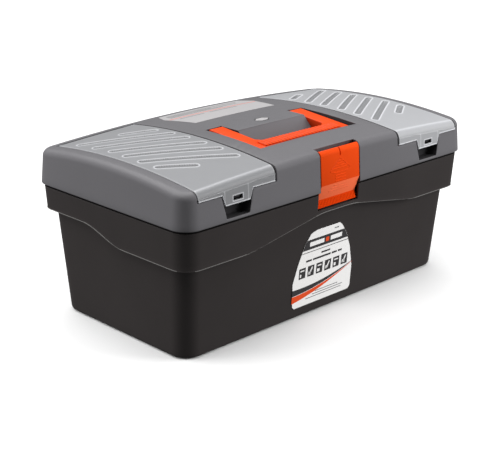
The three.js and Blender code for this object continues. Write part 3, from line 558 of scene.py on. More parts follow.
def lid():
    """lid_solid less itself drawn in by the wall. Blocks kept out of that cavity leave the covers' wells, the
    handle's bed and the latch's housing solid, and rooms of the moving parts' own forms are cut into them.
    Faces deep beside the handle's arms, in the covers' notches and by the latch are painted a dark grey as
    painted shade, and dark strips laid in the gaps beside the covers are painted shadow."""
    made = lid_solid("lid", 0.0, RIM, 1.3)
    cavity = lid_solid("cavity", LID_WALL, RIM - 1)
    keep = []
    rooms = []
    near, far = COVER_INNER - WELL_WALL, COVER_OUTER + WELL_WALL
    for side in (-1, 1):
        keep.append(block("well", sorted((side * near, side * far)), (-HALF_WIDTH - 1, COVER_REAR + 6),
                          (WELL_FLOOR - TUB_WALL, AIR)))
        keep.append(block("behind", sorted((side * (TAB_MIDDLE - 24), side * (TAB_MIDDLE + 24))),
                          (-HALF_WIDTH - 1, -HALF_WIDTH + NOTCH_DEPTH + 6), (RIM + 1, FLANGE_LOW + 4)))
        plan = rounded_plan((side * (COVER_INNER - COVER_GAP), side * (COVER_OUTER + COVER_GAP)),
                            (WELL_FRONT, WELL_REAR), WELL_CORNER)
        rooms.append(prism("room", plan, WELL_FLOOR, AIR))
        notch = [(TAB_MIDDLE - NOTCH_HALF, NOTCH_LOW), (TAB_MIDDLE + NOTCH_HALF, NOTCH_LOW),
                 (TAB_MIDDLE + TAB_TOP_HALF + COVER_GAP, FLANGE_LOW - COVER_GAP),
                 (TAB_MIDDLE - TAB_TOP_HALF - COVER_GAP, FLANGE_LOW - COVER_GAP)]
        notch = [(side * x, z) for x, z in notch]
        rooms.append(prism("notch", notch, -HALF_WIDTH - 5, -HALF_WIDTH + NOTCH_DEPTH, "y"))
        seat = prism("seat", cover_outline(side, COVER_GAP), -HALF_WIDTH - 5, COVER_REAR + 0.5, "y")
        take(seat, lid_solid("under", COVER_WALL + CLEAR))
        rooms.append(seat)
        rooms.append(rod("swing", *cover_line(side, COVER_GAP + 0.2), COVER_BARREL + 2.0))
        rooms.append(rod("socket", *cover_line(side, 3.3), COVER_HOLE))
    keep.append(block("bed", (-RECESS_OUTER - 5, RECESS_OUTER + 5), (RECESS_FRONT - 3, RECESS_REAR + 3.5),
                      (SCOOP_FLOOR - 2.5, AIR)))
    keep.append(block("front", (-35.8, 35.8), (-HALF_WIDTH - 1, -HALF_WIDTH + 17), (RIM - 2, AIR)))
    take(cavity, *keep)
    low = [(y, arm_top(y) - ARM_HEIGHT - 8.5) for y in (RECESS_REAR, RECESS_FRONT)]
    arms = [(RECESS_REAR, AIR), *low, (RECESS_FRONT, AIR)]
    scoop = [(SCOOP_TOP, AIR), (SCOOP_TOP, TOP - 1), (SCOOP_TOP - SCOOP_RUN, SCOOP_FLOOR),
             (RECESS_FRONT + 7, SCOOP_FLOOR), (RECESS_FRONT, SCOOP_FLOOR + 7), (RECESS_FRONT, AIR)]
    rooms.append(prism("arm_room", arms, -RECESS_OUTER, -HANDLE_INNER + 0.5, "x"))
    rooms.append(prism("arm_room", arms, HANDLE_INNER - 0.5, RECESS_OUTER, "x"))
    rooms.append(prism("scoop", scoop, -HANDLE_INNER, HANDLE_INNER, "x"))
    for side in (-1, 1):
        rooms.append(rod("pin_room", (side * 45, PIVOT_Y, PIVOT_Z), (side * 76.7, PIVOT_Y, PIVOT_Z),
                         HANDLE_HOLE))
    _, inner = latch_profile(LATCH_WALL + CLEAR, 85)
    half = LATCH_HALF + COVER_GAP
    slot = [(LATCH_REAR, AIR), (-HALF_WIDTH - 5, AIR), (-HALF_WIDTH - 5, LATCH_FOLD[1]), *inner,
            (LATCH_REAR, crown(0, LATCH_REAR) - LATCH_WALL - CLEAR)]
    rooms.append(prism("latch_room", slot, -half, half, "x"))
    swing = math.hypot(LATCH_REAR - LATCH_PIVOT[0], crown(0, LATCH_REAR) - LATCH_PIVOT[1]) + CLEAR
    rooms.append(rod("swing", (-half, *LATCH_PIVOT), (half, *LATCH_PIVOT), swing))
    rooms.append(rod("pin_room", (-half - 3.5, *LATCH_PIVOT), (half + 3.5, *LATCH_PIVOT), LATCH_HOLE))
    take(made, cavity, *rooms)
    extra = []
    front = lid_front(WINDOW_LOW) + COVER_WALL + 0.6
    back = -HALF_WIDTH + NOTCH_DEPTH + 1
    catch = [(back, WINDOW_LOW - 2), (front, WINDOW_LOW + 1), (front, WINDOW_LOW + 3), (back, WINDOW_LOW + 6)]
    for side in (-1, 1):
        extra.append(prism("catch", catch, side * TAB_MIDDLE - 5, side * TAB_MIDDLE + 5, "x"))
        span = leaf(side, 0)
        extra.append(hinge_rod("knuckle", *span, HINGE_BARREL))
        extra.append(block("web", span, (HALF_WIDTH - 2, HINGE_Y), (RIM + 0.5, RIM + 6)))
    add(made, *extra)
    take(made, *[hinge_rod("bore", side * HINGE_X - 12, side * HINGE_X + 12, HINGE_HOLE) for side in (-1, 1)])
    rounded(tidy(made), 0.45, 2, 34)
    x, y, z = face_middles(made)
    x = np.abs(x)
    under = z < crown(x, y) - 1.0
    beside_arm = (x > HANDLE_INNER - 0.6) & (x < RECESS_OUTER + 0.1)
    beside_arm &= (y > RECESS_FRONT - 0.1) & (y < RECESS_REAR + 0.1)
    in_notch = (np.abs(x - TAB_MIDDLE) < 21) & (y > lid_front(z) + 1.0) & (y < NOTCH_DEPTH + 0.1 - HALF_WIDTH)
    in_notch &= (z > NOTCH_LOW - 0.1) & (z < FLANGE_LOW + 1)
    by_latch = (x < half + 0.1) & (y > 3 - HALF_WIDTH) & (y < LATCH_REAR + 0.2) & (z > 150)
    # faces deep beside the handle's arms, in the notches and by the latch take the dark grey, as painted shade
    zone = (beside_arm & under & (z > SCOOP_FLOOR - 1)) | in_notch | (by_latch & under)
    set_zones(made, zone)
    inner_gap = (COVER_INNER - 1.0, COVER_INNER + 1.5)
    # dark strips in the gaps beside the covers, in the dark grey, as painted shadow
    shadow_spans = ((-1, *inner_gap, 0.12), (1, *inner_gap, 0.6), (1, COVER_OUTER + 0.1, COVER_OUTER + 0.95, 0.2),
              (-1, COVER_OUTER + 0.1, COVER_OUTER + 0.75, 0.6))
    shadow_strips = [inked(shadow_strip(side * x0, side * x1, depth), 1) for side, x0, x1, depth in shadow_spans]
    return merged(shaded(made, 34), *shadow_strips)


def shadow_strip(x0, x1, below):
    """A dark strip laid in the gap beside a cover as painted shadow: the lid's outer face moved in by two depths,
    from the hinge line over the crown, round the front edge and down to the flange's lower edge."""
    front = HALF_WIDTH - LID_DRAFT * (TOP - LID_EDGE - RIM) - LID_EDGE
    centre_z = crown(x0, -front) - LID_EDGE

    def path(depth):
        y = np.linspace(COVER_REAR - 4, -front, 40)
        turn = np.radians(np.linspace(90, 0, 9)[1:])
        z = np.linspace(centre_z, FLANGE_LOW + 1, 6)[1:]
        radius = LID_EDGE - depth
        return [*zip(y, crown(x0, y) - depth),
                *zip(-front - radius * np.cos(turn), centre_z + radius * np.sin(turn)),
                *zip(lid_front(z) + depth, z)]

    return prism("shadow_strip", [*path(below), *path(1.4)[::-1]], *sorted((x0, x1)), "x")


# ---------------------------------------------------------------- covers
# Both ends of every groove's middle line in x and y, x counted from the box's middle outwards.
GROOVES = [((135, 69), (106, 52)), ((184, 76), (105, 26.5)), ((184, 50), (105.5, 3)), ((183, 25), (106, -23)),
           ((184, 1.5), (106, -47)), ((185, -23), (107, -72)), ((184, -46), (155, -66))]


def groove_depth(x, y):
    """Height over the plain crown: each groove is a stadium round a line, sunk inside and with a low bead
    round its edge; x counts from the box's middle outwards."""
    height = np.zeros(np.broadcast(x, y).shape)
    for (ax, ay), (bx, by) in GROOVES:
        dx, dy = bx - ax, by - ay
        t = np.clip(((x - ax) * dx + (y - ay) * dy) / (dx * dx + dy * dy), 0, 1)
        away = np.hypot(x - ax - t * dx, y - ay - t * dy)
        height += -GROOVE_DEPTH * smooth((GROOVE_HALF - away) / 1.1)
        height += GROOVE_BEAD * ridge(away - GROOVE_HALF - 0.8, 1.4)
    return height


def cover(side, word):
    """Across: even steps in x, with the tab's corners among them. Along: from the hinge line over the crown,
    round the front edge and down the flange to its lower outline. Solidified inwards. The painted shading is
    higher on beads, lines, edges and the fold, as painted highlights, and lower down the grooves' slopes, as
    painted shade."""
    corners = TAB_MIDDLE + np.array([-TAB_TOP_HALF, -TAB_LOW_HALF, TAB_LOW_HALF, TAB_TOP_HALF])
    across = np.union1d(np.linspace(COVER_INNER + 1.6, COVER_OUTER, 128), corners)
    across = across[np.concatenate([[True], np.diff(across) > 1e-6])]
    shoulder = LID_DRAFT * (TOP - LID_EDGE - RIM)
    front = HALF_WIDTH - shoulder - LID_EDGE
    x = across[None, :]
    along = np.linspace(COVER_REAR, -front, 230)[:, None]
    y_top = along + 0 * x
    z_top = crown(x, along) + groove_depth(x, along)
    turn = np.radians(np.linspace(90, 0, 13)[1:])[:, None]
    y_turn = -(front + LID_EDGE * np.cos(turn)) + 0 * x
    z_turn = crown(x, y_turn) - LID_EDGE * (1 - np.sin(turn))
    away = np.abs(x - TAB_MIDDLE)
    tab = np.clip((TAB_TOP_HALF - away) / (TAB_TOP_HALF - TAB_LOW_HALF), 0, 1)
    low = FLANGE_LOW + (TAB_LOW - FLANGE_LOW) * tab
    t = np.linspace(0, 1, 42)[1:, None]
    z_down = z_turn[-1:] + (low - z_turn[-1:]) * t
    rib = TAB_LINE_HEIGHT * sum(ridge(x - TAB_MIDDLE - place, 0.9) for place in TAB_LINES)
    y_down = lid_front(z_down) - rib * smooth(t * 5)
    y = np.concatenate([y_top, y_turn, y_down])
    z = np.concatenate([z_top, z_turn, z_down])
    grid = np.stack([side * (x + 0 * y), y, z], -1)
    if side > 0:
        grid = grid[:, ::-1]
    made = piece(f"cover_{word}_plate", grid, [quads(grid.shape[0], grid.shape[1], closed=False)])
    relief = np.concatenate([groove_depth(x, along), 0 * y_turn, 0 * z_down])
    # a painted highlight along the fold over the front edge, and a weaker one along the flange's lower outline
    fold = np.exp(-((y - (-front - 1.5)) / 1.3) ** 2) * (z > 170)
    fold = fold + 0.6 * np.exp(-((z - low) / 0.9) ** 2) * (z < 172)
    sheer = smooth((-y - front - 1.0) / 6.0)
    rim = np.minimum(x - COVER_INNER - 1.6, COVER_OUTER - x) + 0 * y
    slope = smooth(-relief / 0.4) * smooth((1.4 + relief) / 0.4)
    # painted highlights on the grooves' beads, painted shade down their slopes and over their floors
    painted_shading = 0.34 + 1.1 * np.clip(relief, 0, 1) - 0.20 * smooth(-relief) - 0.34 * slope
    down = z < z_turn[-1:]
    frame_x = np.abs(x - TAB_MIDDLE) - WINDOW_HALF
    frame_z = np.abs(z - WINDOW_LOW - WINDOW_HEIGHT / 2) - WINDOW_HEIGHT / 2
    edges = ridge(z - low - 0.5, 1.3) + ridge(np.maximum(frame_x, frame_z) - 0.7, 0.9)
    lines = sum(ridge(x - TAB_MIDDLE - place, 1.0) for place in TAB_LINES)
    # on the flange: painted highlights along its lower edge, round the window and on the tab's raised lines
    painted_shading = painted_shading + down * (0.6 * np.clip(edges, 0, 1) + 0.3 * np.clip(lines, 0, 1))
    # the fold's painted highlight, darker down the flange where the grey lid shows through the cover, and a
    # painted highlight along the side edges
    painted_shading = painted_shading + 0.24 * np.clip(fold, 0, 1) - 0.08 * sheer + 0.15 * np.exp(-(rim / 1.2) ** 2)
    # the right cover is painted a little lighter than the left, as painted light
    painted_shading = np.clip(painted_shading + 0.105 * side + 0.025, 0, 1)
    if side > 0:
        painted_shading = painted_shading[:, ::-1]
    set_painted_shading(made, painted_shading)
    thickened(made, COVER_WALL - 0.1, True)
    take(made, block("window", sorted((side * (TAB_MIDDLE - WINDOW_HALF), side * (TAB_MIDDLE + WINDOW_HALF))),
                     (-HALF_WIDTH - 5, -HALF_WIDTH + 10), (WINDOW_LOW, WINDOW_LOW + WINDOW_HEIGHT)))
    add(made, rod("barrel", *cover_line(side, 0), COVER_BARREL),
        rod("trunnion", *cover_line(side, 3.0), COVER_PIN))
    return shaded(rounded(made, 0.3, 2, 50), 40)


# ---------------------------------------------------------------- handle and latch
def handle():
    """The arms and grip: a side view carried along x, with the gap between the arms cut out; faces turned
    sideways are painted a darker orange as painted shade. The ribs: a patch on the grip's top whose height
    swings as the cosine of x and dies away at its border, painted darker between the crests as painted shade."""
    low = lambda y: arm_top(y) - ARM_HEIGHT
    view = [(HANDLE_REAR, PIVOT_Z + 3.4), (HANDLE_REAR - 1.6, arm_top(HANDLE_REAR - 1.6)),
            (GRIP_FRONT + 4, arm_top(GRIP_FRONT + 4)), (GRIP_FRONT, arm_top(GRIP_FRONT) - 3),
            (GRIP_FRONT, low(GRIP_FRONT) + 2), (GRIP_FRONT + 3, low(GRIP_FRONT)),
            (PIVOT_Y - 4, PIVOT_Z - 5.4),
            (PIVOT_Y, PIVOT_Z - 6), (PIVOT_Y + 3.6, PIVOT_Z - 4.8), (HANDLE_REAR, PIVOT_Z - 3.4)]
    made = prism("handle", view, -HANDLE_OUTER, HANDLE_OUTER, "x")
    near, bend = HANDLE_INNER - GRIP_CORNER, GRIP_REAR + GRIP_CORNER
    gap = [(-HANDLE_INNER, HANDLE_REAR + 5), (-HANDLE_INNER, bend), (-near, GRIP_REAR),
           (near, GRIP_REAR), (HANDLE_INNER, bend), (HANDLE_INNER, HANDLE_REAR + 5)]
    nip = [(HANDLE_OUTER - 5, GRIP_FRONT - 1), (HANDLE_OUTER + 1, GRIP_FRONT - 1),
           (HANDLE_OUTER + 1, GRIP_FRONT + 5)]
    corners = [prism("corner", [(side * x, y) for x, y in nip], 150, 220) for side in (-1, 1)]
    take(made, prism("gap", gap, 150, 220), *corners)
    rounded(tidy(made), 1.3, 4, 20)
    take(made, rod("bore", (-HANDLE_OUTER - 1, PIVOT_Y, PIVOT_Z), (HANDLE_OUTER + 1, PIVOT_Y, PIVOT_Z),
                   HANDLE_HOLE))
    x = np.linspace(-RIB_REACH, RIB_REACH, 461)[None, :]
    y = np.linspace(GRIP_FRONT + 5.5, GRIP_REAR - 2.5, 25)[:, None]
    edge = smooth(RIB_REACH - np.abs(x)) * smooth((y - y[0]) / 1.2) * smooth((y[-1] - y) / 1.2)
    crest = smooth((np.cos(2 * np.pi * x / RIB_STEP) + 0.35) / 0.9)
    z = arm_top(y) - 0.15 + edge * (0.20 + 0.75 * crest)
    grid = np.stack([x + 0 * z, y + 0 * z, z], -1)
    ribs = piece("ribs", grid, [quads(*z.shape, closed=False)[:, ::-1]])
    # the ribs' orange is multiplied down between the crests, as painted shade
    set_painted_shading(ribs, 1 - edge * (1 - crest))
    thickened(ribs, RIB_PATCH, False)
    # faces turned sideways take a darker orange, as painted shade
    normals = np.zeros(3 * len(made.data.polygons), np.float32)
    made.data.polygons.foreach_get("normal", normals)
    set_zones(made, np.abs(normals.reshape(-1, 3)[:, 0]) > 0.7)
    return shaded(made, 34), shaded(ribs, 60)


def latch_face(z):
    """y of the latch's outer face at height z: round the top edge, down the wall to the knee, and on through
    the fold to the foot."""
    outer, _ = latch_profile(LATCH_WALL, LATCH_WRAP)
    ys, zs = np.array([*outer, LATCH_FOLD, LATCH_FOOT]).T
    order = np.argsort(zs)
    return np.interp(z, zs[order], ys[order])


def strip(name, path, half, height):
    """A raised line on the latch: (x, z) along a path, with a rounded section that stands height over the
    face."""
    path = np.asarray(path, float)
    steps = np.concatenate([[0], np.cumsum(np.hypot(*np.diff(path, axis=0).T))])
    at = np.linspace(0, steps[-1], max(int(steps[-1] / 0.8), 2))
    x, z = np.interp(at, steps, path[:, 0]), np.interp(at, steps, path[:, 1])
    dx, dz = np.gradient(x), np.gradient(z)
    size = np.hypot(dx, dz)
    nx, nz = -dz / size, dx / size
    turn = np.linspace(0, 2 * np.pi, 12, endpoint=False)[None, :]
    px = x[:, None] + nx[:, None] * half * np.cos(turn)
    pz = z[:, None] + nz[:, None] * half * np.cos(turn)
    py = latch_face(pz) - height * np.sin(turn)
    return outward(lofted(name, np.stack([px, py, pz], -1)))


def latch():
    """The side view of latch_profile carried along x, with its foot, its barrel, a slit in the top and the
    raised lines laid on its outer face. The slope's outer faces are painted a lighter, paler orange as painted
    sheen, and the foot's a darker orange as painted shade."""
    outer, inner = latch_profile(LATCH_WALL, LATCH_WRAP)
    foot = [LATCH_FOLD, LATCH_FOOT, (LATCH_FOOT[0] + LATCH_WALL, LATCH_FOOT[1])]
    made = prism("latch", [*outer, *foot, *inner], -LATCH_HALF, LATCH_HALF, "x")
    rounded(made, 0.6, 3, 28)
    add(made, rod("barrel", (-LATCH_HALF, *LATCH_PIVOT), (LATCH_HALF, *LATCH_PIVOT), LATCH_BARREL))
    take(made, block("slit", (-0.8, 0.8), (-HALF_WIDTH - 5, LATCH_REAR + 10), (TOP - 17.5, 240)),
         rod("bore", (-LATCH_HALF - 1, *LATCH_PIVOT), (LATCH_HALF + 1, *LATCH_PIVOT), LATCH_HOLE))
    marks = [strip("mark", path, 0.45, 0.3) for path in
             ([(-15.5, 159.6), (0, 172.3), (15.5, 159.6)], [(-9, 157.4), (-15.5, 159.6)],
              [(9, 157.4), (15.5, 159.6)])]
    for z, half in ((169, 4.2), (166.6, 7.4), (164.2, 10.6), (161.8, 13.4), (157.4, 9), (154.4, 8),
                    (151.4, 8), (148.6, 8), (144.2, 9.5), (141.2, 12), (138.2, 15)):
        marks.append(strip("mark", [(-half, z), (half, z)], 0.5, 0.32))
    for x in np.arange(-27, 27.5, 2.25):
        marks.append(strip("mark", [(x, LATCH_FOOT[1] + 0.9), (x, LATCH_FOLD[1] - 0.9)], 0.5, 0.3))
    merged(made, *marks)
    _, y, z = face_middles(made)
    # outer faces between the fold and the knee take a lighter, paler orange, as painted sheen
    facing = y < latch_face(z) + 0.9
    # outer faces below the fold take a darker orange, as painted shade
    set_zones(made, np.where(facing & (z < LATCH_FOLD[1]), 2, facing & (z < LATCH_KNEE)))
    return shaded(made, 34)


# ---------------------------------------------------------------- labels
def inked(made, number):
    """Gives all of a piece's faces the same material number."""
    set_zones(made, np.full(len(made.data.polygons), number))
    return made


def on_front(outline, low, high, number):
    """An outline in x and z laid on the tub's leaning front wall, from low to high over the wall."""
    flat = np.asarray(outline, float)
    rings = [np.stack([flat[:, 0], -(FOOT_Y + BODY_DRAFT_Y * flat[:, 1]) - lift, flat[:, 1]], -1)
             for lift in (low, high)]
    return inked(outward(lofted("print", rings)), number)


def box_outline(x0, x1, z0, z1):
    """The corners of an upright rectangle in x and z."""
    return [(x0, z0), (x1, z0), (x1, z1), (x0, z1)]


def label_edge(z):
    """x of the front label's left and right edges at height z."""
    left = np.interp(z, [12.4, 15, 42, 62, 82, 94, 96], [-47, -50, -52, -46, -38, -29, -20])
    right = np.interp(z, [12.4, 15.5, 40, 64, 82, 93, 96], [38, 41, 41, 35, 27, 19, 15])
    return left, right


def front_label():
    """A white plate with a dark title band, thin lines, six tiles, a two-tone sweep and plain bars."""
    rise = np.linspace(12.4, 96, 60)
    left, right = label_edge(rise)
    outline = np.concatenate([np.stack([left, rise], -1), np.stack([right, rise], -1)[::-1]])
    made = on_front(outline, 0.3, 0.6, 0)
    inks = []

    def band(z0, z1, number):
        z = np.linspace(z0, z1, 6)
        a, b = label_edge(z)
        shape = np.concatenate([np.stack([a + 0.15, z], -1), np.stack([b - 0.15, z], -1)[::-1]])
        inks.append(on_front(shape, 0.5, 0.64, number))

    def bar(x0, x1, z0, z1, number, top=0.64):
        inks.append(on_front(box_outline(x0, x1, z0, z1), 0.5, top, number))

    band(76.0, 87.0, 1)
    bar(-30, -8, 79.2, 84.0, 0, 0.68)
    bar(-5.5, -0.5, 79.2, 84.0, 2, 0.68)
    bar(2, 20, 79.2, 84.0, 0, 0.68)
    band(72.8, 73.6, 1)
    bar(7, 14, 90.8, 92.2, 3)
    bar(-11, 3, 67.3, 69.2, 1)
    for start, width in ((-34, 9), (-23.5, 28), (6, 8), (16, 6)):
        bar(start, start + width, 62.2, 64.4, 1)
    for k in range(6):
        x = -43.5 + 13.2 * k
        bar(x, x + 10, 45, 57, 1)
        lines = np.array([(x + 2, 47), (x + 4, 47), (x + 8, 55), (x + 6, 55)]) if k % 2 else \
            np.array([(x + 2, 53.2), (x + 8, 53.2), (x + 8, 54.6), (x + 2, 54.6)])
        inks.append(on_front(lines, 0.5, 0.68, 0))
        bar(x + 1.6, x + 3.6 + k % 3, 47, 50.4, 0, 0.68)
    x = np.linspace(-51.6, 40.8, 50)
    t = (x + 51.6) / 92.4
    curve = 27.5 + 17.5 * t ** 1.9
    thick = 6.5 * (1 - t) ** 0.9 + 0.5
    inks.append(on_front(np.concatenate([np.stack([x, curve], -1), np.stack([x, curve + thick], -1)[::-1]]),
                         0.5, 0.64, 1))
    under = curve - 0.5 - (0.4 + 7.5 * (1 - t) ** 1.3)
    inks.append(on_front(np.concatenate([np.stack([x, under], -1), np.stack([x, curve - 0.5], -1)[::-1]]),
                         0.5, 0.64, 2))
    for start, end, z in ((-16, 20, 24.6), (-20, 28, 21.8), (-30, 26, 19.0)):
        bar(start, end, z, z + 0.9, 3)
    return merged(made, *inks)


def on_crown(x0, x1, y0, y1, low, high, number, ends=None):
    """A patch that follows the crown, from low to high over it; ends gives its half length along y."""
    y = np.linspace(y0, y1, max(int((y1 - y0) / 2.5), 2))[:, None]
    t = np.linspace(0, 1, 30 if ends else max(int((x1 - x0) / 4), 3))[None, :]
    left, right = (-ends(y), ends(y)) if ends else (x0, x1)
    x = left + (right - left) * t + 0 * y
    rows = [np.stack([x, y + 0 * x, crown(x, y) + lift], -1) for lift in (low, high)]
    count_y, count_x = x.shape
    skin = quads(count_y, count_x, closed=False)
    size = count_y * count_x
    rim = np.concatenate([np.arange(count_x), np.arange(1, count_y) * count_x + count_x - 1,
                          np.arange(count_x - 1)[::-1] + (count_y - 1) * count_x,
                          np.arange(1, count_y - 1)[::-1] * count_x])
    after = np.roll(rim, -1)
    wall = np.stack([rim, after, after + size, rim + size], -1)
    points = np.concatenate([row.reshape(-1, 3) for row in rows])
    made = piece("print", points, [skin[:, ::-1], skin + size, wall])
    return inked(outward(made), number)


def top_label():
    """A silver plate over the crown with angled ends, one orange line and thin darker lines."""
    ends = lambda y: np.interp(y, [38, 80, 99], [60, 68, 60])
    made = on_crown(0, 0, 38, 99, 0.1, 0.45, 0, ends)
    inks = [on_crown(0, 0, 73.4, 74.6, 0.3, 0.5, 2, lambda y: ends(y) - 1.5)]
    for start, end, y in ((-58, 20, 79.5), (-58, 44, 83.0), (-58, 8, 86.5), (-56, 50, 90.0), (-56, -20, 67.0),
                          (-12, 30, 67.0)):
        inks.append(on_crown(start, end, y, y + 1.8, 0.3, 0.5, 1))
    return merged(made, *inks)


def emblem():
    """A plain dark six-sided badge with a smaller silver six-sided inlay, standing a little over the crown."""
    half = lambda y: np.interp(y, [-8.0, -2.0, 4.0], [5.0, 11.5, 5.0])
    made = on_crown(0, 0, -8.0, 4.0, -0.2, 0.08, 1, half)
    inner = lambda y: np.interp(y, [-6.6, -2.0, 2.6], [4.4, 9.6, 4.4])
    return merged(made, on_crown(0, 0, -6.6, 2.6, 0.04, 0.13, 0, inner))


# ---------------------------------------------------------------- materials
def plastic(name, colour, rough, grain=0.06, grain_size=2600.0, tint=0.12, clear=0.0, gloss=0.5):
    """Moulded plastic: a fine grain in the relief, a slow drift in colour and a finer one in roughness."""
    made = bpy.data.materials.new(name)
    made.use_nodes = True
    nodes, links = made.node_tree.nodes, made.node_tree.links
    shader = nodes["Principled BSDF"]
    place = nodes.new("ShaderNodeTexCoord")
    drift = nodes.new("ShaderNodeTexNoise")
    drift.inputs["Scale"].default_value = 14.0
    drift.inputs["Detail"].default_value = 3.0
    links.new(place.outputs["Object"], drift.inputs["Vector"])
    mix = nodes.new("ShaderNodeMix")
    mix.data_type = "RGBA"
    links.new(drift.outputs["Fac"], mix.inputs["Factor"])
    mix.inputs["A"].default_value = (*[c * (1 - tint) for c in colour], 1)
    mix.inputs["B"].default_value = (*[min(c * (1 + tint), 1.0) for c in colour], 1)
    links.new(mix.outputs["Result"], shader.inputs["Base Color"])
    fine = nodes.new("ShaderNodeTexNoise")
    fine.inputs["Scale"].default_value = grain_size
    fine.inputs["Detail"].default_value = 2.0
    links.new(place.outputs["Object"], fine.inputs["Vector"])
    wear = nodes.new("ShaderNodeTexNoise")
    wear.inputs["Scale"].default_value = 60.0
    wear.inputs["Detail"].default_value = 5.0
    links.new(place.outputs["Object"], wear.inputs["Vector"])
    span = nodes.new("ShaderNodeMapRange")
    links.new(wear.outputs["Fac"], span.inputs["Value"])
    span.inputs["To Min"].default_value = rough - 0.06
    span.inputs["To Max"].default_value = rough + 0.06
    links.new(span.outputs["Result"], shader.inputs["Roughness"])
    bump = nodes.new("ShaderNodeBump")
    bump.inputs["Strength"].default_value = grain
    bump.inputs["Distance"].default_value = 0.0004
    links.new(fine.outputs["Fac"], bump.inputs["Height"])
    links.new(bump.outputs["Normal"], shader.inputs["Normal"])
    shader.inputs["Transmission Weight"].default_value = clear
    shader.inputs["IOR"].default_value = 1.49
    shader.inputs["Specular IOR Level"].default_value = gloss
    return made


def shade_by_attribute(material, layer, low, high):
    """Multiplies the base colour by a number that runs from low to high with an attribute of the mesh."""
    nodes, links = material.node_tree.nodes, material.node_tree.links
    shader = nodes["Principled BSDF"]
    source = shader.inputs["Base Color"].links[0].from_socket
    value = nodes.new("ShaderNodeAttribute")
    value.attribute_name = layer
    span = nodes.new("ShaderNodeMapRange")
    links.new(value.outputs["Fac"], span.inputs["Value"])
    span.inputs["To Min"].default_value = low
    span.inputs["To Max"].default_value = high
    scale = nodes.new("ShaderNodeVectorMath")
    scale.operation = "SCALE"
    links.new(source, scale.inputs[0])
    links.new(span.outputs["Result"], scale.inputs["Scale"])
    links.new(scale.outputs["Vector"], shader.inputs["Base Color"])


black = plastic("black_polypropylene", (0.036, 0.0315, 0.031), 0.44, grain=0.10, gloss=0.4)
# the tub's black made far darker for the lip, as painted shade under the lid
lip_shade_black = plastic("black_painted_shade_under_lid", (0.008, 0.0075, 0.0075), 0.7, grain=0.10, gloss=0.1)
# a lighter black for the collar's bead, as a painted highlight
bead_highlight_black = plastic("black_painted_highlight", (0.155, 0.15, 0.147), 0.5, grain=0.10, gloss=0.2)
tray_black = plastic("tray_polypropylene", (0.028, 0.027, 0.027), 0.55, grain=0.12)
grey = plastic("grey_polypropylene", (0.134, 0.131, 0.139), 0.44, grain=0.10, tint=0.05)
# the lid's grey made far darker for deep gaps, as painted shade
gap_shade_grey = plastic("grey_painted_gap_shade", (0.030, 0.029, 0.031), 0.6, grain=0.10, tint=0.05, gloss=0.2)
orange = plastic("orange_polypropylene", (0.74, 0.060, 0.004), 0.45, grain=0.05, tint=0.05, gloss=0.22)
# a lighter, paler orange for the latch's slope, as painted sheen
orange_sheen = plastic("orange_painted_sheen", (0.86, 0.155, 0.06), 0.45, grain=0.05, tint=0.05, gloss=0.22)
# a darker orange for the latch's foot, as painted shade
orange_foot_shade = plastic("orange_painted_foot_shade", (0.66, 0.045, 0.002), 0.5, grain=0.05, tint=0.05, gloss=0.1)
# a darker orange for the handle's sides, as painted shade
orange_side_shade = plastic("orange_painted_side_shade", (0.46, 0.030, 0.002), 0.5, grain=0.05, tint=0.05, gloss=0.15)
ribbed_orange = plastic("ribbed_orange", (0.74, 0.060, 0.004), 0.45, grain=0.05, tint=0.05, gloss=0.22)
# multiplies the ribbed orange down in the troughs between the ribs, as painted shade
shade_by_attribute(ribbed_orange, "painted_shading", 0.28, 1.02)
milky = plastic("milky_polypropylene", (0.40, 0.405, 0.42), 0.34, grain=0.04, tint=0.03, clear=0.22)
# the milky colour runs darker and much lighter with the painted highlights and painted shade laid on the covers
shade_by_attribute(milky, "painted_shading", 0.38, 2.1)
film = plastic("silver_film", (0.44, 0.43, 0.435), 0.34, grain=0.02, tint=0.03)
ink = plastic("dark_ink", (0.045, 0.043, 0.045), 0.4, grain=0.02, tint=0.05)
orange_ink = plastic("orange_ink", (0.80, 0.085, 0.02), 0.4, grain=0.02, tint=0.05)
grey_ink = plastic("grey_ink", (0.22, 0.22, 0.225), 0.4, grain=0.02, tint=0.05)
paper = plastic("label_film", (0.93, 0.92, 0.91), 0.36, grain=0.02, tint=0.02)
steel = plastic("steel_rod", (0.55, 0.56, 0.57), 0.3, grain=0.05, tint=0.05)
steel.node_tree.nodes["Principled BSDF"].inputs["Metallic"].default_value = 1.0


def dress(made, material, body, slot_name, *nodes):
    """Gives a piece its material, or its list of them, ties it to its body and hides the CAD nodes it
    stands for. slot_name is not used."""
    materials = material if isinstance(material, list) else [material]
    numbers = np.zeros(len(made.data.polygons), np.int32)
    made.data.polygons.foreach_get("material_index", numbers)
    made.data.materials.clear()
    for each in materials:
        made.data.materials.append(each)
    set_zones(made, numbers if len(materials) > 1 else 0 * numbers)
    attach(made, body)
    if nodes:
        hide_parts(*nodes)


dress(tub(), [black, lip_shade_black, bead_highlight_black], "base", "tub", "base_tub")
dress(lid(), [grey, gap_shade_grey], "lid", "lid", "lid_shell")
for side, word in ((-1, "left"), (1, "right")):
    dress(cover(side, word), milky, f"cover_{word}", "cover", f"cover_{word}")
arms, grip_ribs = handle()
dress(arms, [orange, orange_side_shade], "handle", "orange", "handle")
dress(grip_ribs, ribbed_orange, "handle", "orange")
dress(latch(), [orange, orange_sheen, orange_foot_shade], "latch", "orange", "latch")

dress(shaded(front_label(), 20), [paper, ink, orange_ink, grey_ink], "base", "label", "front_label")
dress(shaded(top_label(), 20), [film, grey_ink, orange_ink], "lid", "label", "top_label")
dress(shaded(emblem(), 20), [film, ink], "lid", "label")

shown = {"tray": tray_black, "divider": grey, "pins": steel, "label": paper}
for entry in frame["record"]["subparts"]:
    node = frame["nodes"][entry["node"]]
    if entry["material_slot"] in shown and not node.hide_render:
        node.data.materials.clear()
        node.data.materials.append(shown[entry["material_slot"]])


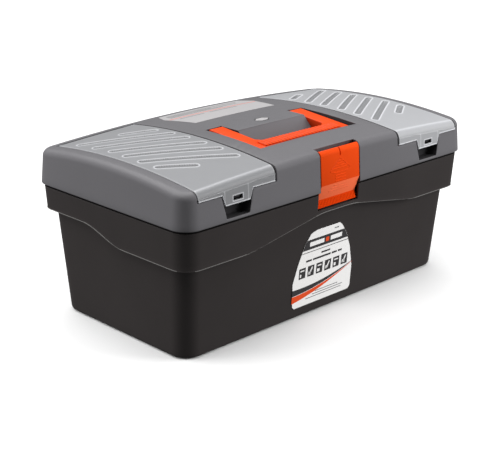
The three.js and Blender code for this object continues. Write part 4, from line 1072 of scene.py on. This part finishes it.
# ---------------------------------------------------------------- studio
def studio_floor(half, z):
    """A square that lies at height z and reaches half each way."""
    corners = [(-half, -half, z), (half, -half, z), (half, half, z), (-half, half, z)]
    made = piece("floor", corners, [np.array([[0, 1, 2, 3]])])
    made.data.materials.append(plastic("floor_white", (0.86, 0.86, 0.86), 0.8, grain=0.0, tint=0.01))
    return made


ground = studio_floor(30000, -0.2)
ground.visible_diffuse = False
ground.visible_glossy = False


def soft_light(name, place, aim, size, power):
    """An area light at place turned to aim, which glossy rays don't see."""
    data = bpy.data.lights.new(name, "AREA")
    data.shape = "RECTANGLE"
    data.size, data.size_y = size
    data.energy = power
    made = bpy.data.objects.new(name, data)
    made.location = place
    made.rotation_euler = (Vector(aim) - Vector(place)).to_track_quat("-Z", "Y").to_euler()
    made.visible_glossy = False
    bpy.context.scene.collection.objects.link(made)


soft_light("left_softbox", (-1.55, 1.35, 0.65), (0, 0, 0.1), (1.5, 1.3), 37)
soft_light("right_softbox", (1.45, -1.5, 0.65), (0, 0, 0.1), (1.5, 1.3), 59)
overhead = bpy.data.objects.new("overhead", bpy.data.lights.new("overhead", "SUN"))
overhead.data.energy = 3.65
overhead.data.angle = math.radians(82)
overhead.rotation_euler = (math.radians(-12), math.radians(-4), 0)
bpy.context.scene.collection.objects.link(overhead)

world = bpy.data.worlds.new("studio_air")
world.use_nodes = True
world.node_tree.nodes["Background"].inputs["Color"].default_value = (1, 1, 1, 1)
world.node_tree.nodes["Background"].inputs["Strength"].default_value = 0.12
bpy.context.scene.world = world
bpy.context.scene.view_settings.view_transform = "Standard"

yaw, pitch, roll = -0.78103, 0.33388, 0.006744
back = Vector((math.sin(yaw) * math.cos(pitch), -math.cos(yaw) * math.cos(pitch), math.sin(pitch)))
flat = Vector((math.cos(yaw), math.sin(yaw), 0))
upward = back.cross(flat)
right = math.cos(roll) * flat + math.sin(roll) * upward
upright = -math.sin(roll) * flat + math.cos(roll) * upward
camera = bpy.data.objects.new("camera", bpy.data.cameras.new("camera"))
camera.data.sensor_width = 36
camera.data.lens = 85.72
turned = Matrix((right, upright, back)).transposed()
camera.matrix_world = Matrix.Translation((-0.88987, -0.88274, 0.50468)) @ turned.to_4x4()
bpy.context.scene.collection.objects.link(camera)
bpy.context.scene.camera = camera
